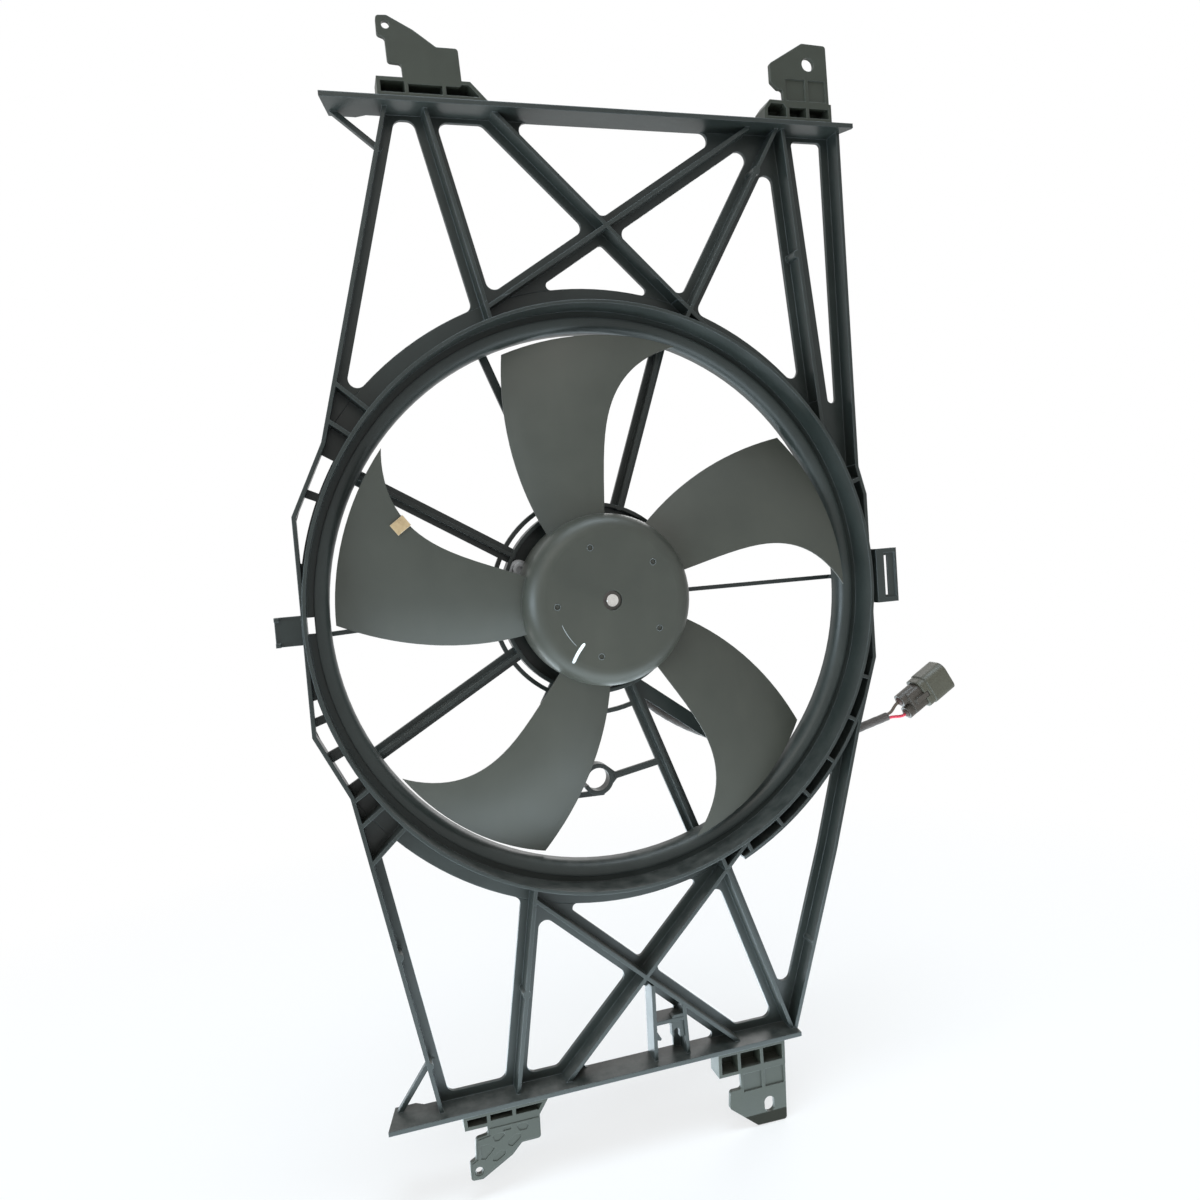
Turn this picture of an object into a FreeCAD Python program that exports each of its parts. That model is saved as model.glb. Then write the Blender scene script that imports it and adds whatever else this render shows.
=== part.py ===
import FreeCAD, Part
import math
import os

# Radiator cooling fan of a compact car, in millimetres.
# The fan axis is Y, the radiator lies in front at -Y, air flows along +Y and +Z is up.
# The origin is on the fan axis in the plane of the front rim.

# Fan wheel
tip_radius = 173.0
blade_count = 5
blade_lead_angle = 15.5
blade_lead_sweep = 16.8
blade_lead_power = 3.8
blade_trail_angle = 55.5
blade_trail_sweep = 19.0
blade_lead_y = (15.0, 9.0)
blade_trail_y = (26.0, 29.5)
blade_camber = (1.0, 3.0)
blade_thickness = (3.2, 2.4)
blade_edge_thickness = 1.2
blade_stations = 7

# Hub cup of the wheel
hub_radius = 57.0
hub_front_y = 2.0
hub_back_y = 36.0
hub_wall = 2.5
hub_edge_radius = 12.0
hub_boss_radius = 10.0
hub_boss_back_y = 19.0
hub_recess_radius = 6.5
hub_recess_depth = 3.0
hub_rib_count = 10
hub_rib_thickness = 1.8
hub_rib_back_y = 12.0
dimple_circle_radius = 37.2
dimple_radius = 2.0
dimple_depth = 0.8
dimple_angle = 37.8

# Shroud ring section, from the throat outward
tip_clearance = 3.0
bell_radius = 8.0
lip_width = 1.2
channel_width = 4.6
rim_wall = 2.2
ring_wall = 2.2
ring_back_y = 30.0
annulus_width = 12.0
rail_inset = 8.5
left_rail_inset = 11.1

# Ribbed frame
web_front_y = 20.0
web_thickness = 2.5
rib_front_y = 8.0
rib_thickness = 2.5
member_width = 13.5
edge_width = 8.2
opening_corner = 5.5
slim_corner = 3.0
slim_opening = 2700.0
smallest_opening = 300.0
bar_top_z = 311.5
bar_bottom_z = -317.0
bar_thickness = 3.0
bar_front_y = 1.0
bar_flare_y = 26.0
top_strip = 3.0
bottom_strip = 5.5
boss_radius = 2.7

# Mounting tabs
tab_front_y = 2.0
tab_thickness = 3.0
tab_wall = 2.2
tab_pocket_back_y = 16.5
tab_corner = 2.0
tab_recess_depth = 1.0
bolt_hole_radius = 4.5
pin_hole_radius = 2.45
slot_width = 7.5
slot_length = 11.0

# Side clips
clip_thickness = 2.5
left_clip_reach = 15.7
left_clip_height = 18.0
right_clip_reach = 16.5
right_clip_height = 38.0
right_clip_slot_width = 1.8
right_clip_slot_height = 28.0

# Motor carrier
carrier_back_y = 50.0
carrier_flange = 2.5
carrier_rib_front_y = 41.0
carrier_clearance = 4.0
carrier_width = 16.0
spoke_width = 10.0
thin_spoke_width = 3.0
leg_clearance = 2.2
leg_depth = 6.6
guard_clearance = 3.5
guard_width = 3.0
carrier_boss_radius = 5.0
carrier_boss_length = 8.0

# Motor
shaft_radius = 4.0
shaft_front_y = 2.6
shaft_back_y = 86.0
can_radius = 46.0
can_wall = 2.0
can_front_y = 24.0
can_back_y = 82.0
nose_radius = 11.0
nose_length = 3.5
bearing_radius = 8.0
bearing_length = 8.5
cap_thickness = 3.0
core_radius = 30.0
core_y = (38.0, 64.0)
core_slots = 12
winding_radius = 27.0
winding_length = 4.8
commutator_radius = 11.0
commutator_y = (70.0, 77.0)
magnet_gap = 1.5
magnet_y = (35.0, 67.0)
magnet_half_angle = 66.0
brush_width = 5.0
brush_length = 11.0
spring_length = 8.0
spring_wire = 0.8
spring_radius = 2.0
spring_turns = 4
spring_gap = 0.1
holder_y = (76.8, 78.8)
screw_count = 3
screw_offset = 11.0
screw_radius = 2.5
screw_head_radius = 4.5
screw_head_height = 3.5
ear_radius = 6.5
screw_angle = 35.0
retainer_thickness = 1.0

# Fits
running_gap = 0.03
fit_gap = 0.05
seat_gap = 0.15

# Balance clip
balance_length = 8.0
balance_depth = 9.0
balance_sheet = 0.8
balance_place = 0.72
balance_seat = 0.3

# Pigtail
sleeve_radius = 3.2
wire_radius = 1.15
barrel_spacing = 11.2
barrel_radius = 5.2
cord_end_gap = 0.35
grommet_radius = 5.5
grommet_length = 4.0
cable_angle = -67.0
cable_y = 62.0
connector_angle = 30.6
connector_length = 42.0
connector_place = (240.1, 45.0, -105.6)

# Sizes that follow from the ones above
bore_radius = tip_radius + tip_clearance
lip_radius = bore_radius + bell_radius
rim_inner_radius = lip_radius + lip_width + channel_width
rim_radius = rim_inner_radius + rim_wall
annulus_radius = rim_radius + annulus_width
right_rail_x = annulus_radius - rail_inset
left_rail_x = annulus_radius - left_rail_inset
leg_radius = bore_radius + ring_wall + leg_clearance
carrier_inner_radius = can_radius + carrier_clearance
carrier_outer_radius = carrier_inner_radius + carrier_width
guard_radius = carrier_outer_radius + guard_clearance + guard_width / 2
screw_circle_radius = can_radius + screw_offset
web_back_y = web_front_y + web_thickness
plate_front_y = carrier_back_y - carrier_flange
REARWARD = FreeCAD.Vector(0, 1, 0)
ORIGIN = FreeCAD.Vector(0, 0, 0)


def polar(radius, degrees):
    """Point (x, z) on a circle about the fan axis."""
    angle = math.radians(degrees)
    return (radius * math.cos(angle), radius * math.sin(angle))


def polygon_face(points, y=0.0):
    """Flat face across the fan axis from (x, z) corners."""
    corners = [FreeCAD.Vector(x, y, z) for x, z in points]
    return Part.Face(Part.makePolygon(corners + [corners[0]]))


def plate(points, y0, y1):
    """Plate across the fan axis, from its (x, z) outline and two depths."""
    return polygon_face(points, y0).extrude(REARWARD * (y1 - y0))


def rounded_plate(points, y0, y1, radius):
    """Plate whose outline corners are rounded inside and outside."""
    face = polygon_face(points, y0)
    for step in (-radius, 2 * radius, -radius):
        face = face.makeOffset2D(step)
    return face.extrude(REARWARD * (y1 - y0))


def disc(radius, y0, y1, centre=(0.0, 0.0)):
    """Solid cylinder along the fan axis direction."""
    base = FreeCAD.Vector(centre[0], y0, centre[1])
    return Part.makeCylinder(radius, y1 - y0, base, REARWARD)


def tube(outer, inner, y0, y1):
    """Hollow cylinder about the fan axis."""
    return disc(outer, y0, y1).cut(disc(inner, y0 - 1, y1 + 1))


def strip_outline(start, end, width):
    """Four corners of a straight strip about its centre line."""
    length = math.dist(start, end)
    side_x = (start[1] - end[1]) / length * width / 2
    side_z = (end[0] - start[0]) / length * width / 2
    return [(start[0] + side_x, start[1] + side_z), (end[0] + side_x, end[1] + side_z),
            (end[0] - side_x, end[1] - side_z), (start[0] - side_x, start[1] - side_z)]


def strip(start, end, width, y0, y1):
    """Straight bar of rectangular section."""
    return plate(strip_outline(start, end, width), y0, y1)


def spoke(angle, r0, r1, width, y0, y1):
    """Radial bar at an angle about the fan axis."""
    return strip(polar(r0, angle), polar(r1, angle), width, y0, y1)


def sector_outline(r0, r1, a0, a1, steps=6):
    """Corners of a ring sector."""
    angles = [a0 + (a1 - a0) * i / steps for i in range(steps + 1)]
    return [polar(r1, a) for a in angles] + [polar(r0, a) for a in reversed(angles)]


def arc_rib(radius, width, a0, a1, y0, y1):
    """Curved rib about the fan axis between two angles."""
    ring = tube(radius + width / 2, radius - width / 2, y0, y1)
    reach = 2 * radius
    steps = 4
    wedge = [(0.0, 0.0)] + [polar(reach, a0 + (a1 - a0) * i / steps) for i in range(steps + 1)]
    return ring.common(plate(wedge, y0 - 1, y1 + 1))


def revolve(profile):
    """Solid of revolution about the fan axis from (radius, y) points.

    A point with a third value is the middle of an arc between its neighbours.
    """
    edges = []
    count = len(profile)
    index = 0
    while index < count:
        here = profile[index]
        after = profile[(index + 1) % count]
        start = FreeCAD.Vector(here[0], here[1], 0)
        if len(after) == 3:
            last = profile[(index + 2) % count]
            middle = FreeCAD.Vector(after[0], after[1], 0)
            edges.append(Part.Arc(start, middle, FreeCAD.Vector(last[0], last[1], 0)).toShape())
            index += 2
        else:
            edges.append(Part.makeLine(start, FreeCAD.Vector(after[0], after[1], 0)))
            index += 1
    return Part.Face(Part.Wire(edges)).revolve(ORIGIN, REARWARD, 360)


def arc_point(centre, radius, degrees):
    """Middle point of an arc in a (radius, y) profile."""
    angle = math.radians(degrees)
    return (centre[0] + radius * math.cos(angle), centre[1] + radius * math.sin(angle), True)


def joined(shapes):
    """One solid from overlapping shapes, with their seams left in its faces."""
    solids = [solid for shape in shapes for solid in shape.Solids]
    return solids[0].multiFuse(solids[1:])


def fused(shapes):
    """One solid from overlapping shapes, with coplanar faces merged."""
    return joined(shapes).removeSplitter()


# Ribbed frame

def rail_corner(x, side):
    """Corner of the outline where a side rail runs out to the annulus."""
    return (x, side * math.sqrt(annulus_radius ** 2 - x ** 2))


frame_outline = [
    (-118.5, bar_top_z),
    polar(annulus_radius, 147.5),
    rail_corner(-left_rail_x, 1),
    rail_corner(-left_rail_x, -1),
    polar(annulus_radius, 211.4),
    (-137.0, bar_bottom_z),
    (114.0, bar_bottom_z),
    (154.6, -192.8),
    polar(annulus_radius + 5.0, -31.0),
    rail_corner(right_rail_x, -1),
    rail_corner(right_rail_x, 1),
    (190.3, 78.0),
    (190.3, bar_top_z),
]

# Diagonal members, each from its end at the bar to its foot on the rim
upper_members = [
    ((-94.0, bar_top_z - 2), polar(rim_radius - 1, 109.4)),
    ((-52.0, bar_top_z - 2), polar(rim_radius - 1, 62.2)),
    ((122.0, bar_top_z - 3), polar(annulus_radius - 4, 109.2)),
    ((143.0, bar_top_z - 2), polar(rim_radius - 1, 69.8)),
    ((147.0, bar_top_z - 2), polar(rim_radius - 1, 30.5)),
]
lower_members = [
    ((-86.7, bar_bottom_z + 2), polar(rim_radius - 1, -109.6)),
    ((-54.0, bar_bottom_z + 2), polar(rim_radius - 1, -59.1)),
    ((70.0, bar_bottom_z + 2), polar(annulus_radius - 4, -109.4)),
    ((111.0, bar_bottom_z + 2), polar(rim_radius - 1, -70.0)),
]
# Web left standing under each bar, as x ranges
upper_bar_webs = [(-120.0, -47.0), (118.0, 192.0)]
lower_bar_webs = [(-140.0, -43.0), (57.0, 118.0)]
# Web beside the right member, which widens towards its foot
foot_web = [(148.0, bar_top_z - bar_thickness), (158.8, bar_top_z - bar_thickness), (176.2, 124.7),
            (196.0, 124.7), (196.0, 90.0), (160.0, 90.0)]
# Windows through the side of the ring, as angle ranges
ring_windows = [(149.0, 155.5), (157.0, 168.5), (193.5, 196.5), (198.0, 203.0), (205.0, 210.0)]
ring_rib_angles = [20.0, 138.1, 143.8, 216.4, 222.1, -21.0, -30.0, -39.5, -48.0, -56.0, -64.0]
# Ejector bosses on the ribs
rib_bosses = [(-142.8, 218.0), (125.5, 280.0), (152.3, 225.0), (-153.8, -210.0), (-141.5, -283.0),
              (-76.0, -250.0), (133.0, -256.0)]


def frame_openings():
    """Faces of the triangular openings between the members."""
    blocks = [polygon_face(strip_outline(top, foot, member_width))
              for top, foot in upper_members + lower_members]
    for start, end in zip(frame_outline, frame_outline[1:]):
        if start[1] != end[1]:
            blocks.append(polygon_face(strip_outline(start, end, 2 * edge_width)))
    blocks.append(polygon_face(foot_web))
    blocks.append(Part.Face(Part.Wire(Part.makeCircle(annulus_radius, ORIGIN, REARWARD))))
    top_edge = bar_top_z - bar_thickness
    bottom_edge = bar_bottom_z + bar_thickness
    for x0, x1 in upper_bar_webs:
        z0 = top_edge - top_strip
        blocks.append(polygon_face([(x0, z0), (x1, z0), (x1, bar_top_z), (x0, bar_top_z)]))
    for x0, x1 in lower_bar_webs:
        z1 = bottom_edge + bottom_strip
        blocks.append(polygon_face([(x0, z1), (x1, z1), (x1, bar_bottom_z), (x0, bar_bottom_z)]))
    # The bars themselves close the openings between the webs
    for z0, z1 in ((top_edge, bar_top_z), (bar_bottom_z, bottom_edge)):
        blocks.append(polygon_face([(-200, z0), (200, z0), (200, z1), (-200, z1)]))
    openings = []
    for face in polygon_face(frame_outline).cut(blocks).Faces:
        if face.Area > smallest_opening:
            corner = opening_corner if face.Area > slim_opening else slim_corner
            openings += face.makeOffset2D(-corner).makeOffset2D(corner).Faces
    return openings


def window_faces():
    """Faces of the ladder windows between the rim and the side rail."""
    inside = polygon_face(frame_outline).makeOffset2D(-rib_thickness)
    faces = []
    for a0, a1 in ring_windows:
        sector = polygon_face(sector_outline(rim_radius + 1.5, annulus_radius - 3.0, a0, a1))
        faces += sector.common(inside).Faces
    return faces


def frame_web():
    """Flat web of the frame with its openings."""
    outline = polygon_face(frame_outline)
    hole = Part.Face(Part.Wire(Part.makeCircle(rim_radius - 1, ORIGIN, REARWARD)))
    face = outline.cut([hole] + frame_openings() + window_faces())
    web = face.extrude(REARWARD * web_thickness)
    web.translate(REARWARD * web_front_y)
    return web


def edge_rib():
    """Rib that follows the outer edge of the frame."""
    outline = polygon_face(frame_outline)
    loop = outline.cut(outline.makeOffset2D(-rib_thickness))
    rib = loop.extrude(REARWARD * (web_back_y - rib_front_y))
    rib.translate(REARWARD * rib_front_y)
    return rib


def member_ribs():
    """Central rib of every diagonal member, and the short ribs about the ring."""
    depth = (rib_front_y, web_front_y + 1)
    ribs = [strip(top, foot, rib_thickness, *depth) for top, foot in upper_members + lower_members]
    ribs += [spoke(a, rim_radius - 1, annulus_radius + 18, rib_thickness, *depth)
             for a in ring_rib_angles if a > 100]
    ribs += [spoke(a, rim_radius - 1, annulus_radius + 1, rib_thickness, *depth)
             for a in ring_rib_angles if a < 100]
    ribs.append(arc_rib(annulus_radius, rib_thickness, -66.0, -17.0, *depth))
    ribs += [disc(boss_radius, rib_front_y, web_front_y + 1, place) for place in rib_bosses]
    outline = polygon_face(frame_outline, rib_front_y).extrude(REARWARD * (web_back_y - rib_front_y))
    return [rib.common(outline).cut(disc(rim_radius - 1, 0, 40)) for rib in ribs]


def harness_posts():
    """Two posts and a hooked bar between the lower crossing and the bottom bar."""
    floor = bar_bottom_z + 1
    depth = (rib_front_y, web_back_y)
    parts = [strip((10.0, -262.0), (8.5, floor), rib_thickness, *depth),
             strip((11.5, -262.0), (10.5, floor), 4.5, web_front_y, web_back_y),
             strip((31.0, -280.0), (32.0, floor), rib_thickness, *depth),
             strip((29.5, -278.0), (30.5, floor), 4.5, web_front_y, web_back_y),
             strip((9.5, -288.8), (31.5, -288.8), rib_thickness, *depth)]
    parts.append(plate([(24.0, -289.0), (31.0, -289.0), (31.0, -295.0), (26.5, -295.0),
                        (26.5, -299.0), (24.0, -299.0)], web_front_y, web_back_y))
    parts.append(plate([(9.0, -293.0), (14.5, -299.5), (12.5, -300.5), (9.0, -298.0)],
                       web_front_y, web_back_y))
    parts.append(plate([(32.0, -303.0), (25.5, -303.0), (25.5, -314.5), (32.0, -314.5)],
                       web_front_y, web_back_y))
    return parts


def bar(points, z0):
    """End bar from its (x, y) outline, lying across the frame."""
    corners = [FreeCAD.Vector(x, y, z0) for x, y in points]
    face = Part.Face(Part.makePolygon(corners + [corners[0]]))
    return face.extrude(FreeCAD.Vector(0, 0, bar_thickness))


def top_bar():
    """Top bar, flared at its left end and pointed at its right end."""
    outline = [(-156, bar_front_y), (197, bar_front_y), (197, 3.0), (190.3, 14.0), (190.3, web_back_y),
               (-128, web_back_y), (-134, bar_flare_y), (-150, bar_flare_y)]
    return bar(outline, bar_top_z - bar_thickness)


def bottom_bar():
    """Bottom bar, flared at its left end."""
    outline = [(-170, bar_front_y), (114.0, bar_front_y), (114.0, web_back_y), (-146, web_back_y),
               (-151, bar_flare_y), (-164, bar_flare_y)]
    return bar(outline, bar_bottom_z)


def gusset_struts():
    """Slanted struts between the flared bar ends and the outer members."""
    depth = (web_front_y - 1, web_back_y)
    return [strip((-149.0, bar_top_z - 2), (-121.0, 286.5), 3.2, *depth),
            strip((-162.0, bar_bottom_z + 2), (-138.5, -283.0), 3.2, *depth)]


def ring_section():
    """Bell mouth, channel and rim wall of the ring."""
    throat = (lip_radius, web_front_y + 6.0)
    inner = bell_radius - ring_wall
    drop = throat[1] - web_back_y
    back_radius = lip_radius - math.sqrt(inner ** 2 - drop ** 2)
    lip_y = throat[1] - bell_radius
    return revolve([
        (rim_radius, 0.0),
        (rim_inner_radius, 0.0),
        (rim_inner_radius, web_front_y),
        (lip_radius + lip_width, web_front_y),
        (lip_radius + lip_width, lip_y),
        (lip_radius, lip_y),
        arc_point(throat, bell_radius, 225.0),
        (bore_radius, throat[1]),
        (bore_radius, ring_back_y),
        (bore_radius + ring_wall, ring_back_y),
        (bore_radius + ring_wall, throat[1]),
        arc_point(throat, inner, 200.0),
        (back_radius, web_back_y),
        (rim_radius, web_back_y),
    ])


def frame_parts():
    """Shroud ring and the upper and lower trusses, parted at the annulus."""
    body = joined([frame_web(), edge_rib(), top_bar(), bottom_bar()]
                  + member_ribs() + harness_posts() + gusset_struts())
    core = disc(annulus_radius, -5, 60)
    slot = Part.makeBox(channel_width - 0.4, web_thickness + 2, 10.0,
                        FreeCAD.Vector(-rim_inner_radius + 0.2, web_front_y - 1, -4.5))
    ring = joined([ring_section(), body.common(core)]).cut(slot)
    outside = body.cut(core)
    reach = 2 * bar_top_z
    upper_half = Part.makeBox(2 * reach, reach, reach, FreeCAD.Vector(-reach, -reach / 2, 0))
    return ring, outside.common(upper_half), outside.cut(upper_half)


# Mounting tabs

def mounting_tab(base, face, rib_places, hole, recess=None):
    """Tab with an open ribbed pocket on the bar and a plate that carries the hole."""
    y_plate = tab_front_y + tab_thickness
    block = plate(base, tab_front_y, tab_pocket_back_y)
    hollow = polygon_face(base, tab_front_y - 1).makeOffset2D(-tab_wall)
    hollow = hollow.extrude(REARWARD * (tab_pocket_back_y - tab_wall - tab_front_y + 1))
    box = block.BoundBox
    walls = [strip((x, box.ZMin + 1), (x, box.ZMax - 1), tab_wall, tab_front_y, tab_pocket_back_y - 1)
             for x in rib_places]
    tab = fused([block.cut(hollow), rounded_plate(face, tab_front_y, y_plate, tab_corner)] + walls)
    if recess:
        for x0, x1, z0, z1 in recess:
            tab = tab.cut(Part.makeBox(x1 - x0, tab_recess_depth + 1, z1 - z0,
                                       FreeCAD.Vector(x0, tab_front_y - 1, z0)))
    return tab.cut(hole)


def slot_cutter(x, z, width, length):
    """Cutter of a slot whose length lies along Z."""
    half = (length - width) / 2
    ends = [disc(width / 2, -5, 20, (x, z - half)), disc(width / 2, -5, 20, (x, z + half))]
    return fused(ends + [strip((x, z - half), (x, z + half), width, -5, 20)])


def top_left_tab():
    """Upper left tab with a small locating hole."""
    base = [(-122, bar_top_z), (-122, 322.5), (-66, 322.5), (-55.5, bar_top_z)]
    face = [(-106, 319), (-106.5, 330.5), (-114.5, 331), (-115, 345), (-119.5, 346.5), (-119.5, 357.5),
            (-113, 358), (-98, 350.5), (-85, 341.5), (-72, 341.5), (-71, 319)]
    return mounting_tab(base, face, (-104.5, -82.0), disc(pin_hole_radius, -5, 20, (-114.0, 352.5)))


def top_right_tab():
    """Upper right tab with the bolt hole."""
    base = [(131, bar_top_z), (131.5, 319.5), (135.5, 324.5), (181.5, 323.5), (181.5, bar_top_z)]
    face = [(146, 320), (145.5, 331.5), (142, 331.5), (137, 336), (137, 348), (161.5, 362.5),
            (179.5, 362), (180, 320)]
    recess = [(148.0, 162.2, 324.6, 338.5), (164.8, 177.5, 324.6, 338.5)]
    return mounting_tab(base, face, (148.5, 163.5), disc(bolt_hole_radius, -5, 20, (165.5, 349.0)), recess)


def bottom_left_tab():
    """Lower left tab with a small locating hole."""
    base = [(-124, bar_bottom_z), (-123.5, -326), (-75, -326.5), (-68.5, bar_bottom_z)]
    face = [(-109.5, -323), (-109, -331.5), (-117, -332.5), (-118, -345.5), (-122, -347.5), (-122, -359),
            (-114.5, -359.5), (-94.5, -348.5), (-88, -342), (-75.5, -342), (-75, -323)]
    return mounting_tab(base, face, (-108.0, -91.5), disc(pin_hole_radius, -5, 20, (-116.6, -353.5)))


def bottom_right_tab():
    """Lower right tab with the slotted bolt hole."""
    base = [(51, bar_bottom_z), (50.5, -333.5), (100.5, -333.5), (101, bar_bottom_z)]
    face = [(66, -330), (66.5, -344.5), (58, -344.5), (57, -356.5), (77, -373), (99, -373.5), (100.5, -330)]
    recess = [(68.0, 81.7, -347.0, -334.5), (84.3, 98.5, -347.0, -334.5)]
    return mounting_tab(base, face, (66.0, 83.0), slot_cutter(86.5, -360.0, slot_width, slot_length), recess)


# Side clips

def left_side_clip():
    """Flat hook plate on the left rail with corner nubs."""
    x1 = -left_rail_x
    x0 = x1 - left_clip_reach
    top = left_clip_height * 0.4
    bottom = top - left_clip_height
    y1 = web_front_y
    y0 = y1 - clip_thickness
    body = Part.makeBox(x1 - x0, y1 - y0, top - bottom, FreeCAD.Vector(x0, y0, bottom))
    lug = 3.0
    nubs = [Part.makeBox(lug, 5.0, clip_thickness, FreeCAD.Vector(x0, y0 - 4.0, z))
            for z in (bottom, top - clip_thickness)]
    return fused([body] + nubs)


def right_side_clip():
    """Slotted strap plate on the right rail, carried by a leg."""
    x0 = right_rail_x
    x1 = x0 + right_clip_reach
    half = right_clip_height / 2
    face = Part.makeBox(x1 - x0, clip_thickness, 2 * half, FreeCAD.Vector(x0, bar_front_y, -half))
    leg = Part.makeBox(clip_thickness, web_back_y - bar_front_y, 2 * half,
                       FreeCAD.Vector(x0, bar_front_y, -half))
    lip = Part.makeBox(clip_thickness, 6.0, 2 * half, FreeCAD.Vector(x1 - clip_thickness, bar_front_y, -half))
    slot = Part.makeBox(right_clip_slot_width, 2 * clip_thickness, right_clip_slot_height,
                        FreeCAD.Vector(x0 + 7.0, bar_front_y - 1, -right_clip_slot_height / 2))
    return fused([face, leg, lip]).cut(slot)


# Motor carrier

def carrier_arm(angle, width, rib):
    """Spoke from the motor ring to the back of the shroud, with its leg."""
    outer = leg_radius + leg_depth
    arm = [spoke(angle, carrier_inner_radius + 6, outer, width, plate_front_y, carrier_back_y),
           spoke(angle, outer - carrier_flange, outer, width, web_back_y, carrier_back_y)]
    if rib:
        arm.append(spoke(angle, carrier_inner_radius + 13, outer, rib_thickness,
                         carrier_rib_front_y, plate_front_y + 1))
        arm.append(spoke(angle, leg_radius, outer, rib_thickness, web_back_y, carrier_back_y))
    return arm


def motor_carrier():
    """Spider that holds the motor behind the wheel."""
    parts = [tube(carrier_outer_radius, carrier_inner_radius, plate_front_y, carrier_back_y),
             tube(carrier_outer_radius, carrier_outer_radius - rib_thickness,
                  carrier_rib_front_y, carrier_back_y)]
    for angle in (149.0, 210.0, 70.4, -70.4):
        parts += carrier_arm(angle, spoke_width, True)
    parts += carrier_arm(111.0, 5.6, False)
    parts += carrier_arm(0.0, thin_spoke_width, False)
    parts += carrier_arm(182.5, thin_spoke_width, False)
    parts += cable_arm()
    parts.append(arc_rib(guard_radius, guard_width, 111.0, 240.0, plate_front_y, carrier_back_y))
    parts.append(arc_rib(guard_radius + 9.0, guard_width, 238.0, 290.0, plate_front_y, carrier_back_y))
    parts.append(spoke(239.0, carrier_outer_radius - 1, guard_radius + 9.0, guard_width,
                       plate_front_y, carrier_back_y))
    parts += wire_clip()
    for i in range(screw_count):
        parts.append(disc(carrier_boss_radius, plate_front_y, carrier_back_y + carrier_boss_length,
                          polar(screw_circle_radius, screw_angle + 360 / screw_count * i)))
    body = fused(parts)
    for i in range(screw_count):
        place = polar(screw_circle_radius, screw_angle + 360 / screw_count * i)
        body = body.cut(disc(screw_radius + fit_gap, plate_front_y - 1, carrier_back_y + 20, place))
    return body


def cable_arm():
    """Channel-shaped arm that leads the motor cable out to the ring."""
    inner = (24.0, -62.0)
    bend = (73.4, -99.9)
    outer = polar(leg_radius + leg_depth, -47.0)
    parts = [strip(inner, bend, spoke_width, plate_front_y, carrier_back_y),
             strip(bend, outer, spoke_width, plate_front_y, carrier_back_y),
             disc(spoke_width / 2, plate_front_y, carrier_back_y, bend)]
    parts.append(spoke(-47.0, leg_radius + leg_depth - carrier_flange, leg_radius + leg_depth,
                       spoke_width, web_back_y, carrier_back_y))
    parts.append(spoke(-47.0, leg_radius, leg_radius + leg_depth, rib_thickness,
                       web_back_y, carrier_back_y))
    return parts


def wire_clip():
    """C-shaped wire clip beside the lower spoke, on a short arm."""
    y0 = carrier_rib_front_y
    centre = (-8.0, -125.5)
    arm = strip((42.0, -120.0), (1.0, -127.0), 4.5, plate_front_y, carrier_back_y)
    ring = disc(11.0, y0, carrier_back_y, centre)
    ring = ring.cut(disc(8.0, y0 - 1, carrier_back_y + 1, centre))
    mouth = plate([centre, (-30.0, -114.0), (-30.0, -134.0)], y0 - 1, carrier_back_y + 1)
    gusset = plate([(7.0, -124.0), (7.0, -128.5), (-3.0, -138.5), (-1.0, -117.0)], plate_front_y, carrier_back_y)
    gusset = gusset.cut(disc(8.0, y0 - 1, carrier_back_y + 1, centre))
    foot = strip((-3.0, -137.0), (-22.0, -136.5), 3.5, plate_front_y, carrier_back_y)
    return [arm, ring.cut(mouth), gusset, foot]


# Fan wheel

def blend(pair, u):
    """Value between the root and the tip of a blade."""
    return pair[0] + (pair[1] - pair[0]) * u


def blade_point(u, c, side):
    """Point on a blade: u from root to tip, c from leading to trailing edge."""
    root = hub_radius - hub_wall / 2
    radius = root + (tip_radius - root) * u
    lead = blade_lead_angle - blade_lead_sweep * u ** blade_lead_power
    trail = blade_trail_angle - blade_trail_sweep * u
    bow = 4 * c * (1 - c)
    y = blend(blade_lead_y, u) * (1 - c) + blend(blade_trail_y, u) * c - blend(blade_camber, u) * bow
    half = (blade_edge_thickness + (blend(blade_thickness, u) - blade_edge_thickness) * bow) / 2
    x, z = polar(radius, lead + (trail - lead) * c)
    return FreeCAD.Vector(x, y + side * half, z)


def blade_skin(side):
    """Front or back surface of a blade."""
    steps = [i / (blade_stations - 1) for i in range(blade_stations)]
    surface = Part.BSplineSurface()
    surface.interpolate([[blade_point(u, c, side) for c in steps] for u in steps])
    return surface


def blade():
    """Swept, twisted and cambered blade between two curved skins."""
    front = blade_skin(-1)
    back = blade_skin(1)
    faces = [front.toShape(), back.toShape()]
    for name, value in (("u", 0.0), ("u", 1.0), ("v", 0.0), ("v", 1.0)):
        curves = [(s.uIso(value) if name == "u" else s.vIso(value)).toShape() for s in (front, back)]
        faces.append(Part.makeRuledSurface(curves[0], curves[1]))
    shell = Part.makeShell(faces)
    shell.sewShape()
    solid = Part.makeSolid(shell)
    solid.fix(0.001, 0.001, 0.01)
    if solid.Volume < 0:
        solid.reverse()
    return solid


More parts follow.
